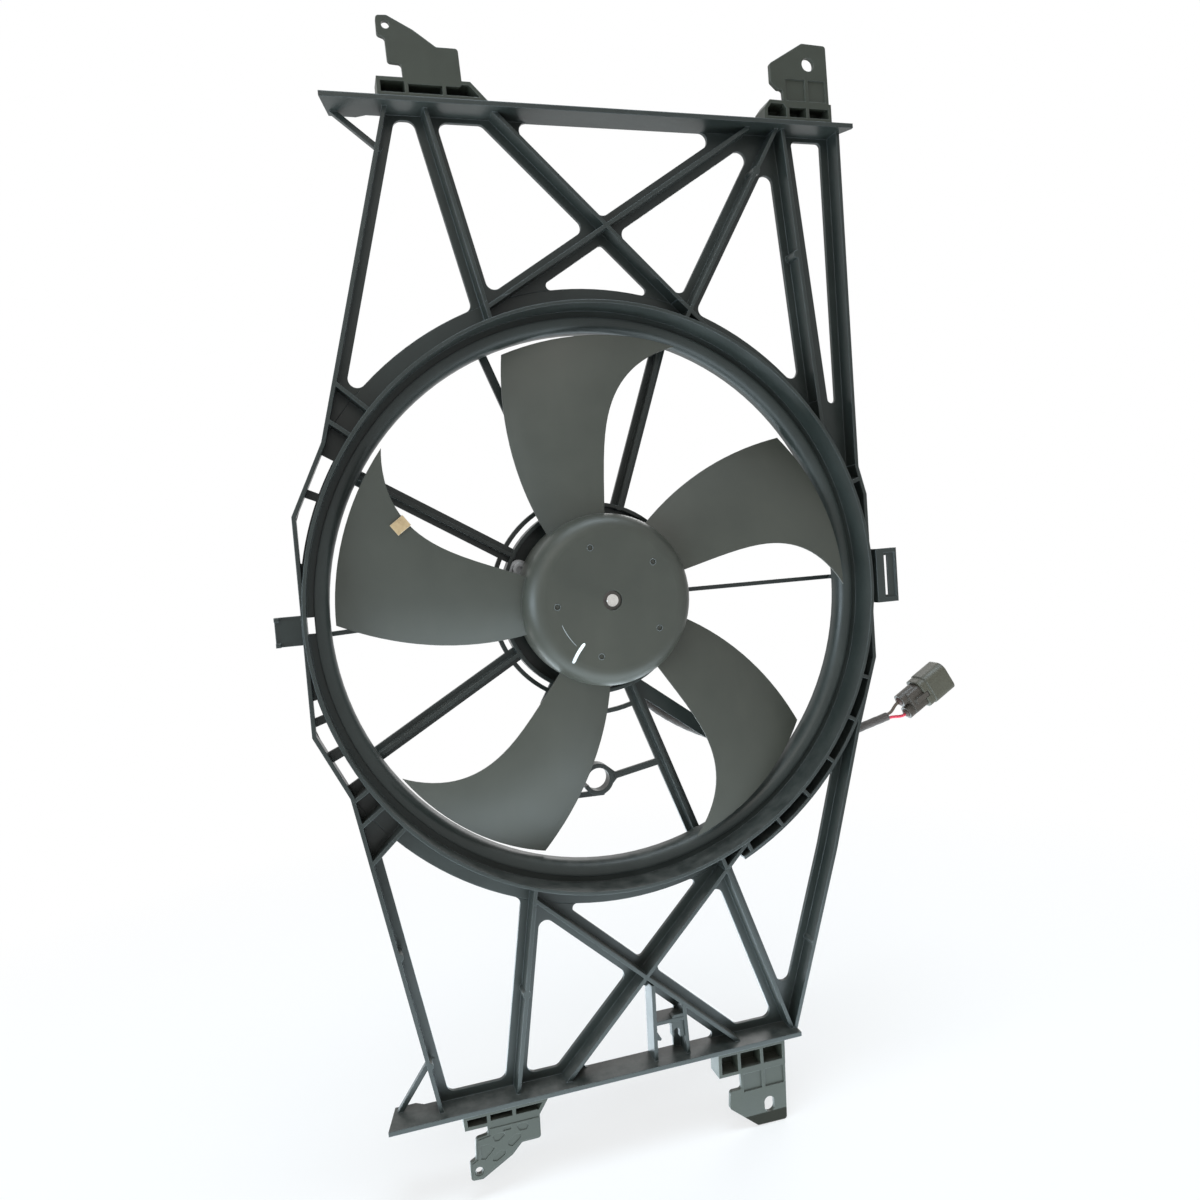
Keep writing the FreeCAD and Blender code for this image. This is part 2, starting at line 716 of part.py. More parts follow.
def hub_cup():
    """Hub cup with its shaft boss."""
    centre_r = hub_radius - hub_edge_radius
    corner = (centre_r, hub_front_y + hub_edge_radius)
    inner = hub_edge_radius - hub_wall
    bore = shaft_radius + running_gap
    floor = hub_front_y + hub_recess_depth
    return revolve([
        (bore, floor),
        (hub_recess_radius, floor),
        (hub_recess_radius, hub_front_y),
        (centre_r, hub_front_y),
        arc_point(corner, hub_edge_radius, -45.0),
        (hub_radius, corner[1]),
        (hub_radius, hub_back_y),
        (hub_radius - hub_wall, hub_back_y),
        (hub_radius - hub_wall, corner[1]),
        arc_point(corner, inner, -45.0),
        (centre_r, hub_front_y + hub_wall),
        (hub_boss_radius, hub_front_y + hub_wall),
        (hub_boss_radius, hub_boss_back_y),
        (bore, hub_boss_back_y),
    ])


def fan_wheel():
    """One-piece wheel: hub cup, inner ribs and blades."""
    parts = [hub_cup()]
    for i in range(hub_rib_count):
        parts.append(spoke(360 / hub_rib_count * i, hub_boss_radius - 1, hub_radius - hub_wall - 4,
                           hub_rib_thickness, hub_front_y + hub_wall - 0.5, hub_rib_back_y))
    first = blade()
    for i in range(blade_count):
        part = first.copy()
        part.rotate(ORIGIN, REARWARD, -360 / blade_count * i)
        parts.append(part)
    wheel = fused(parts)
    for i in range(blade_count):
        place = polar(dimple_circle_radius, dimple_angle + 360 / blade_count * i)
        wheel = wheel.cut(disc(dimple_radius, hub_front_y - 1, hub_front_y + dimple_depth, place))
    return wheel


def balance_clip():
    """Folded steel clip pushed over the leading edge of the left blade."""
    u = balance_place
    edge = blade_point(u, 0.0, 0)
    inward = (blade_point(u, 0.06, 0) - edge).normalize()
    along = (blade_point(u + 0.04, 0.0, 0) - blade_point(u - 0.04, 0.0, 0)).normalize()
    across = inward.cross(along).normalize()
    inward = along.cross(across).normalize()
    gap = blade_edge_thickness / 2 + 0.5
    outer = gap + balance_sheet
    profile = [(-balance_sheet - balance_seat, -outer), (balance_depth, -outer), (balance_depth, -gap),
               (-balance_seat, -gap), (-balance_seat, gap), (balance_depth, gap), (balance_depth, outer),
               (-balance_sheet - balance_seat, outer)]
    corners = [edge + inward * a + across * b - along * (balance_length / 2) for a, b in profile]
    clip = Part.Face(Part.makePolygon(corners + [corners[0]])).extrude(along * balance_length)
    clip.rotate(ORIGIN, REARWARD, -360 / blade_count * 2)
    return clip


# Motor

def motor_shaft():
    """Shaft from the hub face to the rear bearing."""
    return disc(shaft_radius, shaft_front_y, shaft_back_y)


def hub_retainer():
    """Push-on retainer in the hub recess."""
    y0 = hub_front_y + hub_recess_depth - retainer_thickness
    return tube(hub_recess_radius - seat_gap, shaft_radius + running_gap, y0, y0 + retainer_thickness)


def motor_can():
    """Drawn steel can with its bearing nose and three screw ears."""
    y = can_front_y
    inner = can_radius - can_wall
    nose_y = y - nose_length
    pocket = bearing_radius + fit_gap
    seat_y = nose_y + 1.5
    seat_back = seat_y + bearing_length + 0.5
    can = revolve([
        (shaft_radius + 1.0, nose_y),
        (nose_radius, nose_y),
        (nose_radius, y),
        (inner, y),
        arc_point((inner, y + can_wall), can_wall, -45.0),
        (can_radius, y + can_wall),
        (can_radius, can_back_y),
        (inner, can_back_y),
        (inner, y + can_wall),
        (pocket + 2.5, y + can_wall),
        (pocket + 2.5, seat_back),
        (pocket, seat_back),
        (pocket, seat_y),
        (shaft_radius + 1.0, seat_y),
    ])
    y0 = plate_front_y - carrier_flange
    ears = []
    for i in range(screw_count):
        angle = screw_angle + 360 / screw_count * i
        ears.append(disc(ear_radius, y0, plate_front_y, polar(screw_circle_radius, angle)))
        ears.append(spoke(angle, inner + 1, screw_circle_radius, 2 * ear_radius, y0, plate_front_y))
    holes = [disc(screw_radius + 0.3, y0 - 1, plate_front_y + 1,
                  polar(screw_circle_radius, screw_angle + 360 / screw_count * i))
             for i in range(screw_count)]
    keep_out = disc(inner, y + can_wall, can_back_y)
    ears = [ear.cut(keep_out) for ear in ears]
    return fused([can] + ears).cut(holes)


def motor_end_cap():
    """Rear cap with the rear bearing seat."""
    y0 = can_back_y
    y1 = y0 + cap_thickness
    spigot = can_radius - can_wall - fit_gap
    pocket = bearing_radius + fit_gap
    seat_back = shaft_back_y + 1.0
    return revolve([
        (0.0, seat_back + 2.0),
        (nose_radius, seat_back + 2.0),
        (nose_radius, y1),
        (can_radius, y1),
        (can_radius, y0),
        (spigot, y0),
        (spigot, y0 - 2.0),
        (spigot - 3.0, y0 - 2.0),
        (spigot - 3.0, y0),
        (pocket + 2.5, y0),
        (pocket + 2.5, y0 - 4.0),
        (pocket, y0 - 4.0),
        (pocket, seat_back),
        (0.0, seat_back),
    ])


def front_bearing():
    """Sintered bush in the nose of the can."""
    y0 = can_front_y - nose_length + 1.5
    return tube(bearing_radius, shaft_radius + running_gap, y0, y0 + bearing_length)


def rear_bearing():
    """Sintered bush in the end cap."""
    y1 = shaft_back_y + 1.0
    return tube(bearing_radius, shaft_radius + running_gap, y1 - bearing_length, y1)


def armature_core():
    """Laminated core with winding slots."""
    core = tube(core_radius, shaft_radius, *core_y)
    slots = [spoke(360 / core_slots * i, core_radius - 14, core_radius + 1, 3.0, core_y[0] - 1, core_y[1] + 1)
             for i in range(core_slots)]
    return core.cut(slots)


def armature_windings():
    """End turns in front of and behind the core."""
    front = tube(winding_radius, shaft_radius + 4, core_y[0] - winding_length, core_y[0])
    back = tube(winding_radius, shaft_radius + 4, core_y[1], core_y[1] + winding_length)
    return Part.makeCompound([front, back])


def commutator():
    """Copper commutator with its segment grooves."""
    ring = tube(commutator_radius, shaft_radius, *commutator_y)
    grooves = [spoke(360 / core_slots * (i + 0.5), commutator_radius - 1, commutator_radius + 1, 0.6,
                     commutator_y[0] - 1, commutator_y[1] + 1) for i in range(core_slots)]
    return ring.cut(grooves)


def field_magnets():
    """Pair of curved magnets inside the can."""
    outer = can_radius - can_wall - fit_gap
    inner = core_radius + magnet_gap
    ring = tube(outer, inner, *magnet_y)
    pieces = []
    for centre in (0.0, 180.0):
        a0 = centre - magnet_half_angle
        wedge = [(0.0, 0.0)] + [polar(2 * outer, a0 + magnet_half_angle * i / 2) for i in range(5)]
        pieces.append(ring.common(plate(wedge, magnet_y[0] - 1, magnet_y[1] + 1)))
    return Part.makeCompound(pieces)


def brush_block(direction):
    """Carbon brush on one side of the commutator."""
    y0 = sum(commutator_y) / 2 - brush_width / 2
    near = commutator_radius + seat_gap
    z0 = near if direction > 0 else -near - brush_length
    return Part.makeBox(brush_width, brush_width, brush_length, FreeCAD.Vector(-brush_width / 2, y0, z0))


def brush_spring(direction):
    """Coil spring behind a brush, each half turn an arc in its own tilted plane."""
    y = sum(commutator_y) / 2
    near = commutator_radius + seat_gap + brush_length + spring_gap + spring_wire / 2
    rise = (spring_length - spring_wire) / (2 * spring_turns)
    turns = []
    for i in range(2 * spring_turns):
        side = 1 if i % 2 == 0 else -1
        start = FreeCAD.Vector(side * spring_radius, y, near + rise * i)
        middle = FreeCAD.Vector(0, y, near + rise * (i + 0.5))
        section = Part.Face(Part.Wire(Part.makeCircle(spring_wire / 2, start, REARWARD)))
        axis = FreeCAD.Vector(-side * rise, 0, -2 * spring_radius)
        turns.append(section.revolve(middle, axis, 180))
    spring = joined(turns)
    if direction < 0:
        spring.rotate(FreeCAD.Vector(0, y, 0), REARWARD, 180)
    return spring


def brush_holder():
    """Insulating plate with a guide box for each brush."""
    outer = can_radius - can_wall - fit_gap
    parts = [tube(outer, commutator_radius + 3, *holder_y)]
    y0 = sum(commutator_y) / 2 - brush_width / 2 - seat_gap
    wall = 1.5
    near = commutator_radius + 3.5
    far = commutator_radius + seat_gap + brush_length + spring_length + 0.3
    for sign in (1, -1):
        z0 = near if sign > 0 else -far - wall
        outside = Part.makeBox(brush_width + 2 * wall + 2 * seat_gap, holder_y[0] - y0 + wall + 0.5,
                               far + wall - near,
                               FreeCAD.Vector(-brush_width / 2 - wall - seat_gap, y0 - wall, z0))
        z1 = near - 1 if sign > 0 else -far
        inside = Part.makeBox(brush_width + 2 * seat_gap, brush_width + 2 * seat_gap, far + 1 - near,
                              FreeCAD.Vector(-brush_width / 2 - seat_gap, y0, z1))
        parts.append(outside.cut(inside))
    body = fused(parts)
    return body


def motor_screws():
    """Screws that hold the motor ears to the carrier."""
    pieces = []
    y0 = plate_front_y - carrier_flange
    for i in range(screw_count):
        place = polar(screw_circle_radius, screw_angle + 360 / screw_count * i)
        head = disc(screw_head_radius, y0 - screw_head_height, y0, place)
        shank = disc(screw_radius, y0 - 0.5, carrier_back_y + carrier_boss_length - 1, place)
        socket = disc(screw_radius - 0.5, y0 - screw_head_height - 1, y0 - 1.5, place)
        pieces.append(head.fuse(shank).cut(socket))
    return Part.makeCompound(pieces)


# Pigtail

def radial_vector(degrees):
    """Unit vector away from the fan axis."""
    x, z = polar(1.0, degrees)
    return FreeCAD.Vector(x, 0, z)


def cable_grommet():
    """Rubber grommet on the side of the can."""
    away = radial_vector(cable_angle)
    base = away * (can_radius - 4) + REARWARD * cable_y
    body = Part.makeCylinder(grommet_radius, grommet_length + 4, base, away)
    return body.cut(disc(can_radius + fit_gap, 0, 100))


def rounded_path(points):
    """Straight runs joined by tangent arcs, and the radii of the arcs."""
    edges = []
    radii = []
    start = points[0]
    for before, corner, after in zip(points, points[1:], points[2:]):
        back = before - corner
        ahead = after - corner
        reach = 0.45 * min(back.Length, ahead.Length)
        turn = math.pi - back.getAngle(ahead)
        radius = reach / math.tan(turn / 2)
        back.normalize()
        ahead.normalize()
        middle = (back + ahead).normalize()
        sag = radius / math.cos(turn / 2) - radius
        first = corner + back * reach
        last = corner + ahead * reach
        edges.append(Part.LineSegment(start, first).toShape())
        edges.append(Part.Arc(first, corner + middle * sag, last).toShape())
        radii.append(round(radius, 1))
        start = last
    edges.append(Part.LineSegment(start, points[-1]).toShape())
    return Part.Wire(edges), radii


def cord_tube(name, points, radius):
    """Round cord along a rounded path, with its radii and volume printed."""
    path, radii = rounded_path(points)
    heading = points[1] - points[0]
    section = Part.Wire(Part.makeCircle(radius, points[0], heading))
    body = path.makePipeShell([section], True, True)
    ideal = math.pi * radius ** 2 * path.Length
    print(name, "radii", radii, "length", round(path.Length, 1), "volume ratio", round(body.Volume / ideal, 4))
    return body


def sleeve_route():
    """Route of the sleeved cable from the grommet to the end of the sleeve."""
    away = radial_vector(cable_angle)
    start = away * (can_radius + grommet_length + cord_end_gap) + REARWARD * cable_y
    return [start, FreeCAD.Vector(29.0, 60.0, -72.0), FreeCAD.Vector(56.0, 56.5, -95.0),
            FreeCAD.Vector(92.0, 55.0, -113.0), FreeCAD.Vector(131.0, 54.0, -131.0),
            FreeCAD.Vector(172.0, 51.0, -127.0), FreeCAD.Vector(203.0, 47.0, -117.0),
            FreeCAD.Vector(226.0, 45.0, -111.0)]


def wire_route(side):
    """Route of one wire from the sleeve to the connector."""
    axis = FreeCAD.Vector(math.cos(math.radians(connector_angle)), 0, math.sin(math.radians(connector_angle)))
    across = FreeCAD.Vector(-axis.z, 0, axis.x) * (side * barrel_spacing / 2)
    end = FreeCAD.Vector(*connector_place) + across
    sleeve = sleeve_route()
    heading = (sleeve[-1] - sleeve[-2]).normalize()
    offset = FreeCAD.Vector(-heading.z, 0, heading.x).normalize() * (side * 1.4)
    start = sleeve[-1] + offset + heading * cord_end_gap
    end = end - axis * cord_end_gap
    return [start, start + heading * 4.2 + offset * 0.4, end - axis * 4.4, end]


def cable_sleeve():
    """Sleeved two-core cable."""
    return cord_tube("cable_sleeve", sleeve_route(), sleeve_radius)


def red_wire():
    """Supply wire."""
    return cord_tube("red_wire", wire_route(-1), wire_radius)


def black_wire():
    """Earth wire."""
    return cord_tube("black_wire", wire_route(1), wire_radius)


def seated_on_cable(shape):
    """Turn a connector piece from its own axis along X to its place on the cable."""
    shape.rotate(ORIGIN, FreeCAD.Vector(0, 1, 0), -connector_angle)
    shape.translate(FreeCAD.Vector(*connector_place))
    return shape


def rounded_box(x0, x1, width, height, radius):
    """Box along X with rounded long edges, centred on the X axis."""
    box = Part.makeBox(x1 - x0, width, height, FreeCAD.Vector(x0, -width / 2, -height / 2))
    edges = [e for e in box.Edges if abs(e.tangentAt(e.FirstParameter).x) > 0.9]
    return box.makeFillet(radius, edges)


def connector_rear():
    """Rear block of the plug, with a barrel for each wire."""
    body = rounded_box(5.0, 24.0, 14.0, 18.0, 3.0)
    ridge = Part.makeBox(12.0, 3.0, 4.0, FreeCAD.Vector(8.0, -9.0, -2.0))
    barrels = [Part.makeCylinder(barrel_radius, 14.0, FreeCAD.Vector(0, 0, side * barrel_spacing / 2),
                                 FreeCAD.Vector(1, 0, 0)) for side in (-1, 1)]
    return seated_on_cable(fused([body, ridge] + barrels))


def connector_shell():
    """Outer shell of the plug with an open mating end."""
    body = fused([rounded_box(17.0, connector_length, 18.4, 22.4, 5.0),
                  rounded_box(23.0, connector_length, 20.0, 24.0, 6.0)])
    seat = rounded_box(16.0, 24.0, 14.0 + 2 * fit_gap, 18.0 + 2 * fit_gap, 3.0)
    notch = Part.makeBox(4.5, 5.0, 4.6, FreeCAD.Vector(16.0, -11.0, -2.3))
    mouth = rounded_box(27.0, connector_length + 1, 14.4, 18.4, 3.5)
    return seated_on_cable(body.cut(seat).cut(notch).cut(mouth))


def connector_terminals():
    """Two blade terminals in the mouth of the plug."""
    blades = []
    for z in (-4.0, 4.0):
        box = Part.makeBox(9.0, 0.8, 4.5, FreeCAD.Vector(27.0, -0.4, z - 2.25))
        blades.append(seated_on_cable(box))
    return Part.makeCompound(blades)


# Nodes

def export(name, shape):
    """Write one node."""
    shape.exportStep("parts/" + name + ".step")
    print(name, "solids", len(shape.Solids), "volume", round(shape.Volume, 1), "valid", shape.isValid())


def main():
    os.makedirs("parts", exist_ok=True)
    ring, upper, lower = frame_parts()
    export("shroud_ring", ring)
    export("upper_truss", upper)
    export("lower_truss", lower)
    export("top_left_tab", top_left_tab())
    export("top_right_tab", top_right_tab())
    export("bottom_left_tab", bottom_left_tab())
    export("bottom_right_tab", bottom_right_tab())
    export("left_side_clip", left_side_clip())
    export("right_side_clip", right_side_clip())
    export("motor_carrier", motor_carrier())
    export("fan_wheel", fan_wheel())
    export("balance_clip", balance_clip())
    export("hub_retainer", hub_retainer())
    export("motor_shaft", motor_shaft())
    export("armature_core", armature_core())
    export("armature_windings", armature_windings())
    export("commutator", commutator())
    export("motor_can", motor_can())
    export("motor_end_cap", motor_end_cap())
    export("field_magnets", field_magnets())
    export("front_bearing", front_bearing())
    export("rear_bearing", rear_bearing())
    export("brush_holder", brush_holder())
    export("upper_brush", brush_block(1))
    export("lower_brush", brush_block(-1))
    export("upper_brush_spring", brush_spring(1))
    export("lower_brush_spring", brush_spring(-1))
    export("motor_screws", motor_screws())
    export("cable_grommet", cable_grommet())
    export("cable_sleeve", cable_sleeve())
    export("red_wire", red_wire())
    export("black_wire", black_wire())
    export("connector_rear", connector_rear())
    export("connector_shell", connector_shell())
    export("connector_terminals", connector_terminals())


main()
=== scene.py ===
"""Scene of a radiator cooling fan: finishes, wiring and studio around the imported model.

Lengths are in metres in the frame of the part: the fan axis is Y, the radiator
side is -Y, +Z is up and the origin lies on the axis in the plane of the front rim.
"""

import logging
import math
from collections.abc import Callable, Sequence
from dataclasses import dataclass
from enum import Enum

import bmesh
import bpy
from mathutils import Matrix, Vector


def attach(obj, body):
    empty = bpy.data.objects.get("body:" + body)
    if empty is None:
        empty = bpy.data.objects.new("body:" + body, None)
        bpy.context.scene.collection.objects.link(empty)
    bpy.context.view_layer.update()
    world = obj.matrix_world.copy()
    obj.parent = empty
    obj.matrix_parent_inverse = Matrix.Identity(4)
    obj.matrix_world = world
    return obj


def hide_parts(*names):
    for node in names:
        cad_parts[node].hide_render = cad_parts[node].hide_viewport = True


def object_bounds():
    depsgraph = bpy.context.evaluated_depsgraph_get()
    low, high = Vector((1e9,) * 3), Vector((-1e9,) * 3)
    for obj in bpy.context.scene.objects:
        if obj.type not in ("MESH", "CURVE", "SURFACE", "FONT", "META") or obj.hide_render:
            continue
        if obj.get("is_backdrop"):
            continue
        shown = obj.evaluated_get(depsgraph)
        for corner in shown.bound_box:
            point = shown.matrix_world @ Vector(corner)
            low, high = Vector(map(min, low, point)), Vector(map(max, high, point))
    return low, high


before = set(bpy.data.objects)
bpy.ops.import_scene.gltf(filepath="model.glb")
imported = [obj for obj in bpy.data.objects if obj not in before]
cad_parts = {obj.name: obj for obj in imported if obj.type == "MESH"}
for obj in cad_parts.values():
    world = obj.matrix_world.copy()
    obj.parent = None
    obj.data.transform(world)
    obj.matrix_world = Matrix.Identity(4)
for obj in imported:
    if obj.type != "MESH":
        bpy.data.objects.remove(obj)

LOG = logging.getLogger("cooling_fan")
Colour = tuple[float, float, float]
DUST = (0.23, 0.22, 0.20)
BARE_METAL = (0.85, 0.85, 0.83)


class Slot(Enum):
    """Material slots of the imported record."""

    FRAME = "frame_plastic"
    WHEEL = "wheel_plastic"
    ZINC = "zinc_steel"
    RUBBER = "black_rubber"
    SLEEVE = "sleeve_fabric"
    RED = "red_insulation"
    BLACK = "black_insulation"


class Body(Enum):
    """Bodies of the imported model."""

    FRAME = "frame"
    ROTOR = "rotor"


# Shader building

class Tree:
    """Thin wrapper that adds and links the nodes of one node tree."""

    def __init__(self, tree: bpy.types.NodeTree) -> None:
        """Keep the node tree that is being filled."""
        self.tree = tree

    def feed(self, socket: bpy.types.NodeSocket, value: object) -> None:
        """Link a socket into another, or set its plain value.

        Args:
            socket: Input that receives the value.
            value: An output socket, a number, or a tuple of numbers.
        """
        if isinstance(value, bpy.types.NodeSocket):
            self.tree.links.new(value, socket)
        elif isinstance(value, tuple) and socket.type == "RGBA":
            socket.default_value = (*value[:3], 1.0)
        else:
            socket.default_value = value

    def add(self, kind: str, inputs: dict[str | int, object] | None = None,
            **settings: object) -> bpy.types.Node:
        """Add one node.

        Args:
            kind: Blender's identifier of the node.
            inputs: Values or output sockets by input name or index.
            settings: Attributes of the node.

        Returns:
            The new node.
        """
        node = self.tree.nodes.new(kind)
        for name, value in settings.items():
            setattr(node, name, value)
        for key, value in (inputs or {}).items():
            self.feed(node.inputs[key], value)
        return node

    def math(self, operation: str, first: object, second: object = 0.0,
             clamp: bool = False) -> bpy.types.NodeSocket:
        """Add a math node and return its result."""
        node = self.add("ShaderNodeMath", {0: first, 1: second}, operation=operation, use_clamp=clamp)
        return node.outputs[0]

    def mix(self, factor: object, first: object, second: object) -> bpy.types.NodeSocket:
        """Mix two colours and return the result."""
        node = self.add("ShaderNodeMix", {"Factor": factor, 6: first, 7: second}, data_type="RGBA")
        return node.outputs[2]

    def remap(self, value: object, low: float, high: float, to_low: object = 0.0,
              to_high: object = 1.0) -> bpy.types.NodeSocket:
        """Map a range of values to another, clamped, and return the result."""
        return self.add("ShaderNodeMapRange", {"Value": value, "From Min": low, "From Max": high,
                                               "To Min": to_low, "To Max": to_high}).outputs["Result"]

    def noise(self, vector: object, scale: object, detail: float = 3.0,
              roughness: float = 0.55) -> bpy.types.NodeSocket:
        """Add a noise texture and return its value."""
        return self.add("ShaderNodeTexNoise", {"Vector": vector, "Scale": scale, "Detail": detail,
                                               "Roughness": roughness}).outputs[0]

    def place(self) -> bpy.types.NodeSocket:
        """Position in the object's own space."""
        return self.add("ShaderNodeTexCoord").outputs["Object"]


class EffectLibrary:
    """Shader node groups that several materials share, each built once."""

    surface = {"Colour": "Color", "Roughness": "Float", "Height": "Float"}

    def __init__(self) -> None:
        """Build every group."""
        self.grain = self._moulded_grain()
        self.edge = self._edge_wear_and_sheen()
        self.dust = self._settled_dust()
        self.rolled = self._rolled_metal()
        LOG.info("built %d shader groups", len(vars(self)))

    @staticmethod
    def _group(name: str, inputs: dict[str, Colour | float],
               outputs: dict[str, str]) -> tuple[Tree, bpy.types.Node, bpy.types.Node]:
        """Start a node group.

        Args:
            name: Name of the group.
            inputs: Default of each input, a colour or a number.
            outputs: Kind of each output.

        Returns:
            The tree, its input node and its output node.
        """
        group = bpy.data.node_groups.new(name, "ShaderNodeTree")
        for label, default in inputs.items():
            kind = "Color" if isinstance(default, tuple) else "Float"
            socket = group.interface.new_socket(name=label, in_out="INPUT", socket_type=f"NodeSocket{kind}")
            socket.default_value = (*default, 1.0) if kind == "Color" else default
        for label, kind in outputs.items():
            group.interface.new_socket(name=label, in_out="OUTPUT", socket_type=f"NodeSocket{kind}")
        tree = Tree(group)
        return tree, tree.add("NodeGroupInput"), tree.add("NodeGroupOutput")

    def _moulded_grain(self) -> bpy.types.NodeTree:
        """Injection-moulded surface: broad tone drift, flow streaks and fine spark grain."""
        tree, given, result = self._group(
            "moulded_grain", {"Tone": (0.05, 0.05, 0.05), "Bloom": (0.1, 0.1, 0.1), "Grain Scale": 900.0,
                              "Gloss Low": 0.35, "Gloss High": 0.55}, self.surface)
        place = tree.place()
        drift = tree.noise(place, 7.0, 4.0, 0.6)
        cloud = tree.noise(place, 38.0, 5.0, 0.65)
        stretched = tree.add("ShaderNodeMapping", {"Vector": place, "Scale": (60.0, 60.0, 9.0)})
        streak = tree.noise(stretched.outputs[0], 1.0, 3.0, 0.5)
        tone_mask = tree.remap(tree.math("ADD", drift, tree.math("MULTIPLY", cloud, 0.6)), 0.62, 1.05)
        soft_mask = tree.math("MULTIPLY", tone_mask, 0.75)
        streak_mask = tree.math("MULTIPLY", tree.remap(streak, 0.52, 0.72), 0.25)
        bloom = tree.math("ADD", soft_mask, streak_mask, clamp=True)
        tree.feed(result.inputs["Colour"], tree.mix(bloom, given.outputs["Tone"], given.outputs["Bloom"]))
        tree.feed(result.inputs["Roughness"],
                  tree.remap(cloud, 0.3, 0.7, given.outputs["Gloss Low"], given.outputs["Gloss High"]))
        fine = tree.noise(place, given.outputs["Grain Scale"], 2.0, 0.5)
        sink = tree.noise(place, 55.0, 2.0, 0.4)
        tree.feed(result.inputs["Height"], tree.math("ADD", fine, tree.math("MULTIPLY", sink, 1.4)))
        return tree.tree

    def _edge_wear_and_sheen(self) -> bpy.types.NodeTree:
        """Softened arrises and a pale mask along them, partly rubbed marks and partly a painted edge
        highlight.
        """
        tree, given, result = self._group("edge_wear_and_sheen", {"Radius": 0.0006, "Amount": 0.5},
                                          {"Mask": "Float", "Normal": "Vector"})
        bevel = tree.add("ShaderNodeBevel", {"Radius": given.outputs["Radius"]}, samples=4)
        normal = tree.add("ShaderNodeNewGeometry").outputs["Normal"]
        facing = tree.add("ShaderNodeVectorMath", {0: bevel.outputs[0], 1: normal}, operation="DOT_PRODUCT")
        rim = tree.remap(facing.outputs["Value"], 0.98, 0.80)
        patchy = tree.remap(tree.noise(tree.place(), 42.0, 3.0, 0.5), 0.25, 0.62)
        # Patchy mask on the edges: partly rubbed plastic, partly a painted highlight along them.
        rubbed_and_sheened = tree.math("MULTIPLY", rim, patchy)
        tree.feed(result.inputs["Mask"], tree.math("MULTIPLY", rubbed_and_sheened, given.outputs["Amount"], clamp=True))
        tree.feed(result.inputs["Normal"], bevel.outputs[0])
        return tree.tree

    def _settled_dust(self) -> bpy.types.NodeTree:
        """Dust that lies on faces that look up, broken into patches."""
        tree, given, result = self._group("settled_dust", {"Amount": 0.3}, {"Mask": "Float"})
        normal = tree.add("ShaderNodeNewGeometry").outputs["Normal"]
        upward = tree.add("ShaderNodeSeparateXYZ", {0: normal}).outputs["Z"]
        patchy = tree.remap(tree.noise(tree.place(), 90.0, 6.0, 0.7), 0.35, 0.7)
        lying = tree.math("MULTIPLY", tree.remap(upward, 0.45, 1.0), patchy)
        tree.feed(result.inputs["Mask"], tree.math("MULTIPLY", lying, given.outputs["Amount"], clamp=True))
        return tree.tree

    def _rolled_metal(self) -> bpy.types.NodeTree:
        """Sheet or turned metal: fine streaks round the fan axis and dull blotches."""
        tree, given, result = self._group(
            "rolled_metal", {"Tone": (0.5, 0.5, 0.5), "Stain": (0.3, 0.3, 0.3), "Streak Scale": 1500.0,
                             "Gloss Low": 0.2, "Gloss High": 0.45}, self.surface)
        place = tree.place()
        parts = tree.add("ShaderNodeSeparateXYZ", {0: place})
        radius = tree.add("ShaderNodeVectorMath", {0: place, 1: (1.0, 0.0, 1.0)}, operation="MULTIPLY")
        length = tree.add("ShaderNodeVectorMath", {0: radius.outputs[0]}, operation="LENGTH")
        line = tree.add("ShaderNodeCombineXYZ", {"X": length.outputs["Value"], "Y": parts.outputs["Y"]})
        streak = tree.noise(line.outputs[0], given.outputs["Streak Scale"], 3.0, 0.6)
        blotch = tree.remap(tree.noise(place, 60.0, 5.0, 0.65), 0.4, 0.68)
        tree.feed(result.inputs["Colour"], tree.mix(blotch, given.outputs["Tone"], given.outputs["Stain"]))
        tree.feed(result.inputs["Roughness"],
                  tree.remap(streak, 0.3, 0.7, given.outputs["Gloss Low"], given.outputs["Gloss High"]))
        tree.feed(result.inputs["Height"], streak)
        return tree.tree


def place_group(tree: Tree, group: bpy.types.NodeTree, inputs: dict[str, object]) -> bpy.types.Node:
    """Place a shared effect in a material.

    Args:
        tree: The material's nodes.
        group: The effect.
        inputs: Its values by input name.

    Returns:
        The group node.
    """
    node = tree.add("ShaderNodeGroup", node_tree=group)
    for name, value in inputs.items():
        tree.feed(node.inputs[name], value)
    return node


def new_material(name: str) -> tuple[bpy.types.Material, Tree, bpy.types.Node]:
    """Start a material with a Principled shader.

    Args:
        name: Name of the material.

    Returns:
        The material, its tree and the shader node.
    """
    material = bpy.data.materials.new(name)
    material.use_nodes = True
    material.node_tree.nodes.clear()
    tree = Tree(material.node_tree)
    shader = tree.add("ShaderNodeBsdfPrincipled")
    tree.add("ShaderNodeOutputMaterial", {"Surface": shader.outputs[0]})
    return material, tree, shader


